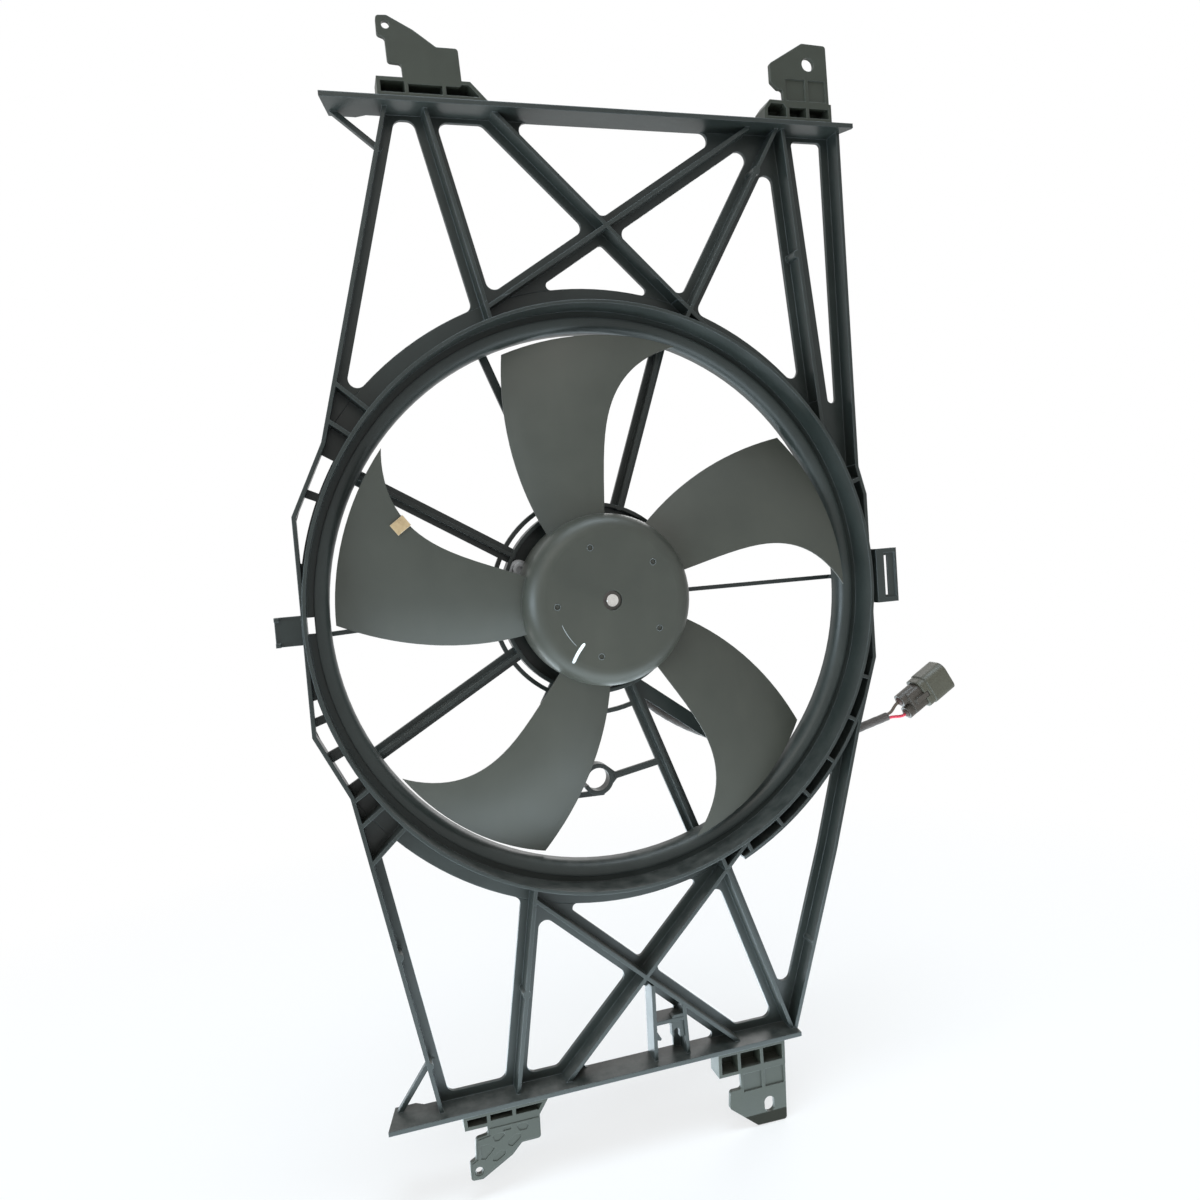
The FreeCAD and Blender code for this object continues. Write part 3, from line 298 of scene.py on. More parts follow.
@dataclass(frozen=True)
class MouldedPlastic:
    """Injection-moulded plastic or rubber."""

    name: str
    tone: Colour
    bloom: Colour
    # Pale colour on the edges: partly rubbed marks, partly a painted edge highlight.
    rub_and_sheen: Colour = (0.16, 0.17, 0.16)
    dust: float = 0.25
    wear_and_sheen: float = 0.5
    arris: float = 0.0006
    gloss: tuple[float, float] = (0.34, 0.52)
    grain_scale: float = 900.0
    grain_depth: float = 0.00004
    specular: float = 0.5

    def material(self, effects: EffectLibrary) -> bpy.types.Material:
        """Build the material from the shared effects."""
        material, tree, shader = new_material(self.name)
        grain = place_group(tree, effects.grain, {
            "Tone": self.tone, "Bloom": self.bloom, "Grain Scale": self.grain_scale,
            "Gloss Low": self.gloss[0], "Gloss High": self.gloss[1]})
        edge = place_group(tree, effects.edge, {"Radius": self.arris, "Amount": self.wear_and_sheen})
        dust = place_group(tree, effects.dust, {"Amount": self.dust})
        # Edges take the pale colour: partly rubbed plastic, partly a painted edge highlight.
        rubbed_and_sheened = tree.mix(edge.outputs["Mask"], grain.outputs["Colour"], self.rub_and_sheen)
        dusty = tree.mix(dust.outputs["Mask"], rubbed_and_sheened, DUST)
        tree.feed(shader.inputs["Base Color"], dusty)
        rough = tree.math("ADD", grain.outputs["Roughness"],
                          tree.math("MULTIPLY", dust.outputs["Mask"], 0.35), clamp=True)
        tree.feed(shader.inputs["Roughness"], rough)
        shader.inputs["Specular IOR Level"].default_value = self.specular
        bump = tree.add("ShaderNodeBump", {"Height": grain.outputs["Height"], "Strength": 0.35,
                                           "Distance": self.grain_depth,
                                           "Normal": edge.outputs["Normal"]})
        tree.feed(shader.inputs["Normal"], bump.outputs[0])
        return material


@dataclass(frozen=True)
class WorkedMetal:
    """Rolled, turned or sintered metal."""

    name: str
    tone: Colour
    stain: Colour
    gloss: tuple[float, float] = (0.2, 0.42)
    streak_scale: float = 1500.0
    depth: float = 0.00002
    metallic: float = 1.0
    arris: float = 0.0003
    wear_and_sheen: float = 0.6

    def material(self, effects: EffectLibrary) -> bpy.types.Material:
        """Build the material from the shared effects."""
        material, tree, shader = new_material(self.name)
        rolled = place_group(tree, effects.rolled, {
            "Tone": self.tone, "Stain": self.stain, "Streak Scale": self.streak_scale,
            "Gloss Low": self.gloss[0], "Gloss High": self.gloss[1]})
        edge = place_group(tree, effects.edge, {"Radius": self.arris, "Amount": self.wear_and_sheen})
        bright = tree.mix(edge.outputs["Mask"], rolled.outputs["Colour"], BARE_METAL)
        tree.feed(shader.inputs["Base Color"], bright)
        tree.feed(shader.inputs["Roughness"], rolled.outputs["Roughness"])
        shader.inputs["Metallic"].default_value = self.metallic
        bump = tree.add("ShaderNodeBump", {"Height": rolled.outputs["Height"], "Strength": 0.3,
                                           "Distance": self.depth, "Normal": edge.outputs["Normal"]})
        tree.feed(shader.inputs["Normal"], bump.outputs[0])
        return material


@dataclass(frozen=True)
class WovenTape:
    """Cloth tape wound round the cable, woven over and under."""

    name: str
    warp: Colour
    weft: Colour
    threads_round: float = 26.0
    threads_along: float = 300.0
    depth: float = 0.00022

    def material(self, effects: EffectLibrary) -> bpy.types.Material:
        """Build the weave from the sleeve's own UV map."""
        material, tree, shader = new_material(self.name)
        uv = tree.add("ShaderNodeTexCoord").outputs["UV"]
        parts = tree.add("ShaderNodeSeparateXYZ", {0: uv})
        around = tree.math("MULTIPLY", parts.outputs["Y"], math.tau * self.threads_round / 2)
        along = tree.math("MULTIPLY", parts.outputs["X"], math.tau * self.threads_along / 2)
        over = tree.math("MULTIPLY", tree.math("SINE", around), tree.math("SINE", along))
        mask = tree.remap(over, -0.4, 0.4)
        place = tree.place()
        soil = tree.remap(tree.noise(place, 120.0, 5.0, 0.7), 0.3, 0.7, 0.75, 1.15)
        thread = tree.mix(mask, self.warp, self.weft)
        shade = tree.add("ShaderNodeVectorMath", {0: thread, "Scale": soil}, operation="SCALE")
        tree.feed(shader.inputs["Base Color"], shade.outputs[0])
        tree.feed(shader.inputs["Roughness"], tree.remap(mask, 0.0, 1.0, 0.85, 0.7))
        fuzz = tree.noise(place, 2200.0, 2.0, 0.6)
        height = tree.math("ADD", tree.math("ABSOLUTE", over), tree.math("MULTIPLY", fuzz, 0.5))
        bump = tree.add("ShaderNodeBump", {"Height": height, "Strength": 0.7, "Distance": self.depth})
        tree.feed(shader.inputs["Normal"], bump.outputs[0])
        shader.inputs["Sheen Weight"].default_value = 0.2
        return material


@dataclass(frozen=True)
class PaintStroke:
    """Hand-brushed marking paint that thins towards its end."""

    name: str
    tone: Colour
    body: Colour

    def material(self, effects: EffectLibrary) -> bpy.types.Material:
        """Build the paint from the stroke's own UV map."""
        material, tree, shader = new_material(self.name)
        coordinates = tree.add("ShaderNodeTexCoord")
        along = tree.add("ShaderNodeSeparateXYZ", {0: coordinates.outputs["UV"]}).outputs["X"]
        hair = tree.noise(coordinates.outputs["Object"], 900.0, 4.0, 0.7)
        thin = tree.math("MULTIPLY", tree.remap(along, 0.55, 1.0), tree.remap(hair, 0.35, 0.65))
        tree.feed(shader.inputs["Base Color"], tree.mix(thin, self.tone, self.body))
        tree.feed(shader.inputs["Roughness"], tree.remap(hair, 0.3, 0.7, 0.35, 0.55))
        bump = tree.add("ShaderNodeBump", {"Height": hair, "Strength": 0.4, "Distance": 0.00005})
        tree.feed(shader.inputs["Normal"], bump.outputs[0])
        return material


@dataclass(frozen=True)
class PaleGround:
    """Plain pale studio ground that shows near white and keeps the shadow."""

    name: str
    tone: Colour
    lift: float
    fade: tuple[float, float]

    def material(self) -> bpy.types.Material:
        """Build the ground, which turns to plain white away from the object."""
        material, tree, shader = new_material(self.name)
        place = tree.place()
        tree.feed(shader.inputs["Base Color"],
                  tree.mix(tree.noise(place, 2.0, 2.0), self.tone, tuple(0.985 * c for c in self.tone)))
        shader.inputs["Roughness"].default_value = 0.9
        shader.inputs["Specular IOR Level"].default_value = 0.1
        path = tree.add("ShaderNodeLightPath")
        seen = tree.math("MAXIMUM", path.outputs["Is Camera Ray"], path.outputs["Is Glossy Ray"])
        seen = tree.math("MAXIMUM", seen, path.outputs["Is Transmission Ray"])
        glow = tree.add("ShaderNodeEmission", {"Color": (1.0, 1.0, 1.0), "Strength": 1.0})
        distance = tree.add("ShaderNodeVectorMath", {0: place}, operation="LENGTH").outputs["Value"]
        share = tree.math("MULTIPLY", seen, tree.remap(distance, *self.fade, self.lift, 1.0))
        blend = tree.add("ShaderNodeMixShader", {0: share, 1: shader.outputs[0], 2: glow.outputs[0]})
        output = next(n for n in tree.tree.nodes if n.type == "OUTPUT_MATERIAL")
        tree.feed(output.inputs["Surface"], blend.outputs[0])
        return material


# The frame's pale bluish edge colour is partly a painted edge highlight, partly rubbed marks.
FRAME_PLASTIC = MouldedPlastic("frame_moulding", (0.017, 0.021, 0.019), (0.027, 0.032, 0.029),
                               rub_and_sheen=(0.13, 0.15, 0.155), wear_and_sheen=0.5, arris=0.0009, gloss=(0.29, 0.42),
                               specular=0.32)
TAB_PLASTIC = MouldedPlastic("tab_moulding", (0.023, 0.026, 0.019), (0.034, 0.038, 0.028), specular=0.3)
WHEEL_PLASTIC = MouldedPlastic("wheel_moulding", (0.040, 0.042, 0.034), (0.053, 0.054, 0.043),
                               gloss=(0.34, 0.46), wear_and_sheen=0.25, dust=0.12, grain_scale=1500.0,
                               specular=0.35)
# Lighter plastic on the dimple rims, a painted highlight round each ejector mark.
DIMPLE_RIM_HIGHLIGHT = MouldedPlastic("dimple_rim_painted_highlight", (0.075, 0.082, 0.078), (0.10, 0.11, 0.105),
                             gloss=(0.2, 0.3), wear_and_sheen=0.1, dust=0.0)
RUBBER = MouldedPlastic("grommet_rubber", (0.018, 0.018, 0.018), (0.03, 0.03, 0.029), gloss=(0.5, 0.7))
PLUG_DARK = MouldedPlastic("plug_dark_nylon", (0.040, 0.032, 0.025), (0.056, 0.046, 0.036), wear_and_sheen=0.15,
                           arris=0.0008, gloss=(0.4, 0.55))
PLUG_OLIVE = MouldedPlastic("plug_olive_nylon", (0.050, 0.047, 0.031), (0.066, 0.062, 0.043), wear_and_sheen=0.15,
                            arris=0.0014, gloss=(0.42, 0.58))
RED_INSULATION = MouldedPlastic("red_insulation", (0.62, 0.035, 0.075), (0.72, 0.06, 0.10), wear_and_sheen=0.0,
                                dust=0.05, gloss=(0.3, 0.42))
BROWN_INSULATION = MouldedPlastic("brown_insulation", (0.075, 0.052, 0.036), (0.10, 0.072, 0.052), wear_and_sheen=0.0,
                                  dust=0.05, gloss=(0.35, 0.5))
SEAL_RUBBER = MouldedPlastic("seal_rubber", (0.045, 0.022, 0.016), (0.06, 0.03, 0.022), gloss=(0.5, 0.65))
PHENOLIC = MouldedPlastic("phenolic_board", (0.16, 0.085, 0.04), (0.22, 0.12, 0.06), gloss=(0.4, 0.55))
CARBON = MouldedPlastic("pressed_carbon", (0.022, 0.022, 0.023), (0.05, 0.05, 0.052), gloss=(0.3, 0.5))
FERRITE = MouldedPlastic("sintered_ferrite", (0.055, 0.054, 0.056), (0.08, 0.079, 0.08), gloss=(0.5, 0.7))
SLEEVE_TAPE = WovenTape("cable_tape", (0.068, 0.056, 0.050), (0.110, 0.093, 0.083))
DARK_STEEL = WorkedMetal("blackened_spring_steel", (0.10, 0.095, 0.09), (0.05, 0.048, 0.046),
                         gloss=(0.3, 0.5))
BRIGHT_STEEL = WorkedMetal("ground_steel", (0.62, 0.61, 0.59), (0.45, 0.43, 0.41), gloss=(0.14, 0.3))
LAMINATION = WorkedMetal("electrical_steel", (0.36, 0.36, 0.38), (0.22, 0.22, 0.24), gloss=(0.35, 0.5))
ZINC_STEEL = WorkedMetal("zinc_sheet", (0.42, 0.43, 0.44), (0.34, 0.345, 0.35), gloss=(0.3, 0.48))
CLIP_STEEL = WorkedMetal("passivated_spring_steel", (0.55, 0.44, 0.27), (0.36, 0.27, 0.16),
                         gloss=(0.25, 0.45))
COPPER = WorkedMetal("enamelled_copper", (0.62, 0.27, 0.13), (0.40, 0.16, 0.07), gloss=(0.2, 0.4))
BRONZE = WorkedMetal("sintered_bronze", (0.46, 0.31, 0.16), (0.33, 0.21, 0.11), gloss=(0.4, 0.6))
TIN_BRASS = WorkedMetal("tinned_brass", (0.66, 0.62, 0.52), (0.5, 0.45, 0.36), gloss=(0.2, 0.35))
MARK_PAINT = PaintStroke("marking_paint", (0.86, 0.87, 0.86), (0.22, 0.24, 0.24))
CHALK = PaintStroke("scuff_line", (0.24, 0.26, 0.26), (0.09, 0.10, 0.10))
GROUND = PaleGround("studio_ground", (0.92, 0.92, 0.92), 0.62, (0.45, 0.95))

Finish = MouldedPlastic | WorkedMetal | WovenTape | PaintStroke


class Wardrobe:
    """Hands out each finish's material, built the first time that it is asked for."""

    def __init__(self, effects: EffectLibrary) -> None:
        """Start with no materials built."""
        self.effects = effects
        self.made: dict[str, bpy.types.Material] = {}

    def material(self, finish: Finish) -> bpy.types.Material:
        """Return the material of a finish."""
        if finish.name not in self.made:
            self.made[finish.name] = finish.material(self.effects)
        return self.made[finish.name]

    def dress(self, piece: bpy.types.Object, finish: Finish) -> None:
        """Give a piece one finish all over."""
        piece.data.materials.clear()
        piece.data.materials.append(self.material(finish))

    def dress_node(self, name: str, finish: Finish) -> None:
        """Give a CAD node one finish in each of its material slots."""
        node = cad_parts[name]
        if not node.material_slots:
            node.data.materials.append(None)
        for slot in node.material_slots:
            slot.material = self.material(finish)
        LOG.info("dressed %s in %s", name, finish.name)

    def enter(self, piece: bpy.types.Object, finish: Finish, slot: Slot, body: Body,
              *replaced: str) -> None:
        """Dress a piece made here, hide the CAD nodes that it stands for, put it on its body and log its
        name.

        Args:
            piece: The piece.
            finish: Its finish.
            slot: Material slot meant for it; not used.
            body: Body that it rides on.
            replaced: CAD nodes that it stands for.
        """
        self.dress(piece, finish)
        if replaced:
            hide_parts(*replaced)
        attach(piece, body.value)
        LOG.info("built %s", piece.name)


# Mesh building

Outline = Sequence[tuple[float, float]]
Skin = list[tuple[bmesh.types.BMFace, int, int]]


def linked(name: str, data: bpy.types.ID) -> bpy.types.Object:
    """Put some data into the scene as a new object."""
    item = bpy.data.objects.new(name, data)
    bpy.context.scene.collection.objects.link(item)
    return item


def make_piece(name: str, mesh: bmesh.types.BMesh, smooth: bool = True) -> bpy.types.Object:
    """Turn a bmesh into a linked object.

    Args:
        name: Name of the piece.
        mesh: Its faces, freed afterwards.
        smooth: Whether its faces are shaded smooth.

    Returns:
        The new object.
    """
    bmesh.ops.recalc_face_normals(mesh, faces=mesh.faces)
    data = bpy.data.meshes.new(name)
    mesh.to_mesh(data)
    mesh.free()
    data.polygons.foreach_set("use_smooth", [smooth] * len(data.polygons))
    return linked(name, data)


def curve_mesh(curve: bpy.types.Curve) -> bpy.types.Mesh:
    """Read a curve as a mesh, through an object that is removed again.

    Args:
        curve: The curve.

    Returns:
        Its mesh.
    """
    holder = linked(curve.name, curve)
    bpy.context.view_layer.update()
    mesh = bpy.data.meshes.new_from_object(holder)
    bpy.data.objects.remove(holder)
    return mesh


def route_points(name: str, controls: Sequence[Vector], spacing: float) -> list[Vector]:
    """Even points along a smooth NURBS line.

    Args:
        name: Name of the line's curve while it is read.
        controls: Control points of the spline.
        spacing: Distance from one returned point to the next.

    Returns:
        Points from the line's start to its end.
    """
    curve = bpy.data.curves.new(name, "CURVE")
    curve.dimensions = "3D"
    curve.resolution_u = 24
    spline = curve.splines.new("NURBS")
    spline.points.add(len(controls) - 1)
    for point, control in zip(spline.points, controls):
        point.co = (*control, 1.0)
    spline.order_u = 3
    spline.use_endpoint_u = True
    mesh = curve_mesh(curve)
    line = [v.co.copy() for v in mesh.vertices]
    bpy.data.meshes.remove(mesh)
    lengths = [0.0]
    for before, after in zip(line, line[1:]):
        lengths.append(lengths[-1] + (after - before).length)
    count = max(2, round(lengths[-1] / spacing))
    points, index = [], 0
    for step in range(count + 1):
        target = lengths[-1] * step / count
        while index < len(line) - 2 and lengths[index + 1] < target:
            index += 1
        span = max(lengths[index + 1] - lengths[index], 1e-9)
        share = min(1.0, max(0.0, (target - lengths[index]) / span))
        points.append(line[index].lerp(line[index + 1], share))
    return points


def path_length(points: Sequence[Vector]) -> float:
    """Length of a line of points."""
    return sum((b - a).length for a, b in zip(points, points[1:]))


def skin(mesh: bmesh.types.BMesh, rows: Sequence[Sequence[bmesh.types.BMVert]], closed: bool,
         looped: bool = False) -> Skin:
    """Cover the gaps between neighbouring rows of corners.

    Args:
        mesh: Mesh that takes the faces.
        rows: Corners, row by row.
        closed: Whether each row's last corner joins its first.
        looped: Whether the last row joins the first.

    Returns:
        Each face with its row and column.
    """
    faces = []
    for i in range(len(rows) if looped else len(rows) - 1):
        here, after = rows[i], rows[(i + 1) % len(rows)]
        for k in range(len(here) if closed else len(here) - 1):
            j = (k + 1) % len(here)
            faces.append((mesh.faces.new((here[k], here[j], after[j], after[k])), i, k))
    return faces


def unwrap(mesh: bmesh.types.BMesh, faces: Skin, along: Sequence[float], columns: int) -> None:
    """Lay the UV map over a skin.

    Args:
        mesh: Mesh of the skin, with its UV layer.
        faces: The skin.
        along: Share of the length at each row.
        columns: Faces across.
    """
    uv = mesh.loops.layers.uv["UVMap"]
    for face, i, k in faces:
        for loop, (u, v) in zip(face.loops, ((i, k), (i, k + 1), (i + 1, k + 1), (i + 1, k))):
            loop[uv].uv = (along[u], v / columns)


def tube_piece(name: str, points: Sequence[Vector], radius: Callable[[float, float], float],
               sides: int = 24) -> bpy.types.Object:
    """Round closed tube along a line, with a UV map along and round it.

    Args:
        name: Name of the piece.
        points: Its centre line.
        radius: Radius from the distance along the tube and the angle round it.
        sides: Facets round the tube.

    Returns:
        The tube.
    """
    mesh = bmesh.new()
    mesh.loops.layers.uv.new("UVMap")
    across = (points[1] - points[0]).normalized().orthogonal().normalized()
    rings, along, distance = [], [], 0.0
    for index, point in enumerate(points):
        before, after = points[max(index - 1, 0)], points[min(index + 1, len(points) - 1)]
        turned = (after - before).normalized()
        across = (across - turned * across.dot(turned)).normalized()
        side = turned.cross(across)
        distance += (point - before).length
        ring = []
        for k in range(sides):
            angle = math.tau * k / sides
            spoke = across * math.cos(angle) + side * math.sin(angle)
            ring.append(mesh.verts.new(point + spoke * radius(distance, angle)))
        rings.append(ring)
        along.append(distance)
    unwrap(mesh, skin(mesh, rings, True), [reach / distance for reach in along], sides)
    mesh.faces.new(list(reversed(rings[0])))
    mesh.faces.new(rings[-1])
    return make_piece(name, mesh)


def turned_piece(name: str, profile: Outline, origin: Vector, axis: Vector,
                 sides: int = 40) -> bpy.types.Object:
    """Closed solid of revolution.

    Args:
        name: Name of the piece.
        profile: Points (distance along the axis, radius), closed on themselves.
        origin: Point on the axis from which distances count.
        axis: Direction of the axis.
        sides: Facets round the axis.

    Returns:
        The solid.
    """
    mesh = bmesh.new()
    across = axis.orthogonal().normalized()
    side = axis.cross(across).normalized()
    rings = []
    for along, reach in profile:
        ring = []
        for k in range(sides):
            angle = math.tau * k / sides
            spoke = across * math.cos(angle) + side * math.sin(angle)
            ring.append(mesh.verts.new(origin + axis * along + spoke * reach))
        rings.append(ring)
    skin(mesh, rings, True, looped=True)
    return make_piece(name, mesh)


def prism(name: str, outline: Outline, front: float, back: float,
          holes: Sequence[Outline] = ()) -> bpy.types.Object:
    """Flat plate across the fan axis.

    Args:
        name: Name of the piece.
        outline: Corners (x, z).
        front: Place of its front face.
        back: Place of its back face.
        holes: Corners of each hole through it.

    Returns:
        The plate.
    """
    curve = bpy.data.curves.new(name, "CURVE")
    curve.dimensions = "2D"
    curve.fill_mode = "BOTH"
    curve.extrude = (back - front) / 2
    for loop in (outline, *holes):
        spline = curve.splines.new("POLY")
        spline.points.add(len(loop) - 1)
        for point, (x, z) in zip(spline.points, loop):
            point.co = (x, z, 0.0, 1.0)
        spline.use_cyclic_u = True
    data = curve_mesh(curve)
    mesh = bmesh.new()
    mesh.from_mesh(data)
    bpy.data.meshes.remove(data)
    bmesh.ops.remove_doubles(mesh, verts=mesh.verts, dist=1e-6)
    middle = (front + back) / 2
    for vert in mesh.verts:
        vert.co = Vector((vert.co.x, middle + vert.co.z, vert.co.y))
    return make_piece(name, mesh, smooth=False)


def merged(name: str, layers: Sequence[bpy.types.Object]) -> bpy.types.Object:
    """One piece from several that lie on each other, which are removed.

    Args:
        name: Name of the piece.
        layers: The pieces that it takes in.

    Returns:
        The piece.
    """
    mesh = bmesh.new()
    for layer in layers:
        data = layer.data
        mesh.from_mesh(data)
        bpy.data.objects.remove(layer)
        bpy.data.meshes.remove(data)
    return make_piece(name, mesh, smooth=False)


def scaled(corners: Outline) -> list[tuple[float, float]]:
    """Corners given in millimetres, in metres."""
    return [(x / 1000.0, z / 1000.0) for x, z in corners]


def oblong(left: float, right: float, half: float) -> list[tuple[float, float]]:
    """Corners of an upright oblong level with the fan axis."""
    return [(left, -half), (right, -half), (right, half), (left, half)]


def ring_corners(centre: tuple[float, float], radius: float, count: int = 28) -> list[tuple[float, float]]:
    """Corners (x, z) of a round outline."""
    return [(centre[0] + radius * math.cos(math.tau * k / count),
             centre[1] + radius * math.sin(math.tau * k / count)) for k in range(count)]


# Sub-assemblies
@dataclass
class RibbedFrame:
    """Shroud ring, trusses, tabs, side clips and motor carrier, with the moulding's smallest forms."""

    dark_nodes: tuple[str, ...] = ("shroud_ring", "upper_truss", "lower_truss", "left_side_clip",
                                   "motor_carrier")
    tab_nodes: tuple[str, ...] = ("top_left_tab", "top_right_tab", "bottom_left_tab", "bottom_right_tab")
    tab_front: float = 0.002
    facing: float = 0.0004
    pin_hole: tuple[float, float] = (-0.1166, -0.3535)
    pin_hole_reach: float = 0.0032
    rib_front: float = 0.008
    web_front: float = 0.020
    web_back: float = 0.0225
    rib_thickness: float = 0.0025
    inset: float = 0.0002
    pocket_rib_root: float = 0.1914
    pocket_rib_tip: float = 0.2042
    pocket_rib_angle: float = 212.2
    catch_front: float = 0.0095
    latch_front: float = 0.0082
    catch_back: float = 0.0140
    clip_left: float = 0.1955
    clip_right: float = 0.2120
    clip_half: float = 0.019
    clip_thickness: float = 0.0025
    slot_left: float = 0.2018
    slot_right: float = 0.2050
    slot_half: float = 0.014
    recess_right: float = 0.2104
    recess_half: float = 0.0158
    face_front: float = 0.001
    recess_floor: float = 0.0022
    lip_thickness: float = 0.0014
    lip_back: float = 0.007

    def tab_facing(self) -> bpy.types.Object:
        """Raised skin of the lower left tab, between its sunk cells."""
        outline = scaled([(-107.8, -328.0), (-107.8, -332.6), (-115.8, -333.6), (-116.7, -346.2),
                          (-120.7, -348.3), (-120.7, -357.6), (-119.8, -358.3), (-114.9, -358.2),
                          (-95.0, -347.3), (-88.5, -341.0), (-77.4, -341.0), (-76.6, -340.2),
                          (-76.2, -328.0)])
        cells = [
            [(-99.4, -331.4), (-94.3, -331.4), (-94.3, -329.0), (-99.4, -329.0)],
            [(-90.8, -330.6), (-88.8, -333.8), (-84.6, -334.0), (-82.9, -331.6), (-84.6, -329.4),
             (-89.2, -329.4)],
            [(-106.4, -333.6), (-105.4, -332.2), (-99.4, -332.4), (-98.6, -334.2), (-102.6, -337.0),
             (-105.4, -336.8)],
            [(-97.2, -341.2), (-96.8, -338.6), (-92.0, -335.6), (-88.2, -335.8), (-88.8, -338.6),
             (-94.6, -342.8)],
            [(-114.6, -337.4), (-109.0, -337.8), (-105.8, -341.0), (-108.6, -344.0), (-112.2, -347.0),
             (-114.9, -346.2)],
            [(-107.6, -349.2), (-107.2, -346.6), (-101.8, -343.6), (-98.8, -344.6), (-99.6, -346.9),
             (-104.6, -349.8)],
        ]
        holes = [scaled(cell) for cell in cells]
        holes.append(ring_corners(self.pin_hole, self.pin_hole_reach))
        return prism("lower_left_tab_facing", outline, self.tab_front - self.facing,
                     self.tab_front + self.facing, holes)

    def pocket_rib(self) -> bpy.types.Object:
        """Short rib below the last window of the ring's left side."""
        turn = math.radians(self.pocket_rib_angle)
        along = Vector((math.cos(turn), math.sin(turn)))
        across = Vector((-along.y, along.x)) * self.rib_thickness / 2
        root, tip = along * self.pocket_rib_root, along * self.pocket_rib_tip
        corners = [tuple(root - across), tuple(tip - across), tuple(tip + across), tuple(root + across)]
        return prism("left_pocket_rib", corners, self.rib_front + self.inset,
                     self.web_front + 2 * self.inset)

    def pocket_floor(self) -> bpy.types.Object:
        """Floor of the pocket at the foot of the left rail."""
        corners = scaled([(-163.4, -120.5), (-169.3, -126.4), (-165.0, -150.0), (-150.9, -136.3)])
        return prism("left_pocket_floor", corners, self.web_front + self.inset, self.web_back - self.inset)

    def harness_catch(self) -> list[bpy.types.Object]:
        """Hook, latch box and barb that hold the harness between the lower posts."""
        hook = [(21.5, -289.2), (30.9, -289.2), (30.9, -302.0), (27.2, -302.0), (27.2, -296.8),
                (26.1, -295.5), (24.0, -295.5), (22.9, -296.6), (22.9, -300.6), (21.5, -300.6)]
        box = [(21.8, -288.8), (30.9, -288.8), (30.9, -285.4), (23.4, -285.4), (21.8, -286.6)]
        barb = [(9.6, -292.8), (13.7, -300.4), (13.1, -301.6), (9.6, -300.8)]
        return [prism("harness_hook", scaled(hook), self.catch_front, self.catch_back),
                prism("harness_latch_box", scaled(box), self.latch_front, self.catch_back),
                prism("harness_barb", scaled(barb), self.catch_front, self.catch_back)]

    def strap_clip(self) -> bpy.types.Object:
        """Right side clip, with a wide slot beside a shallow recess."""
        face_back = self.face_front + self.clip_thickness
        plate = oblong(self.clip_left, self.clip_right, self.clip_half)
        slot = oblong(self.slot_left, self.slot_right, self.slot_half)
        mouth = oblong(self.slot_left, self.recess_right, self.recess_half)
        leg = oblong(self.clip_left, self.clip_left + self.clip_thickness, self.clip_half)
        lip = oblong(self.clip_right - self.lip_thickness, self.clip_right, self.clip_half)
        layers = [prism("clip_face", plate, self.face_front, self.recess_floor, [mouth]),
                  prism("clip_bed", plate, self.recess_floor, face_back, [slot]),
                  prism("clip_leg", leg, face_back, self.web_back),
                  prism("clip_lip", lip, face_back, self.lip_back)]
        return merged("right_strap_clip", layers)

    def dress(self, wardrobe: Wardrobe) -> None:
        """Give the moulding its two shades of plastic and add its small forms."""
        for name in self.dark_nodes:
            wardrobe.dress_node(name, FRAME_PLASTIC)
        for name in self.tab_nodes:
            wardrobe.dress_node(name, TAB_PLASTIC)
        wardrobe.enter(self.strap_clip(), FRAME_PLASTIC, Slot.FRAME, Body.FRAME, "right_side_clip")
        for piece in (self.pocket_rib(), self.pocket_floor(), *self.harness_catch()):
            wardrobe.enter(piece, FRAME_PLASTIC, Slot.FRAME, Body.FRAME)
        wardrobe.enter(self.tab_facing(), TAB_PLASTIC, Slot.FRAME, Body.FRAME)


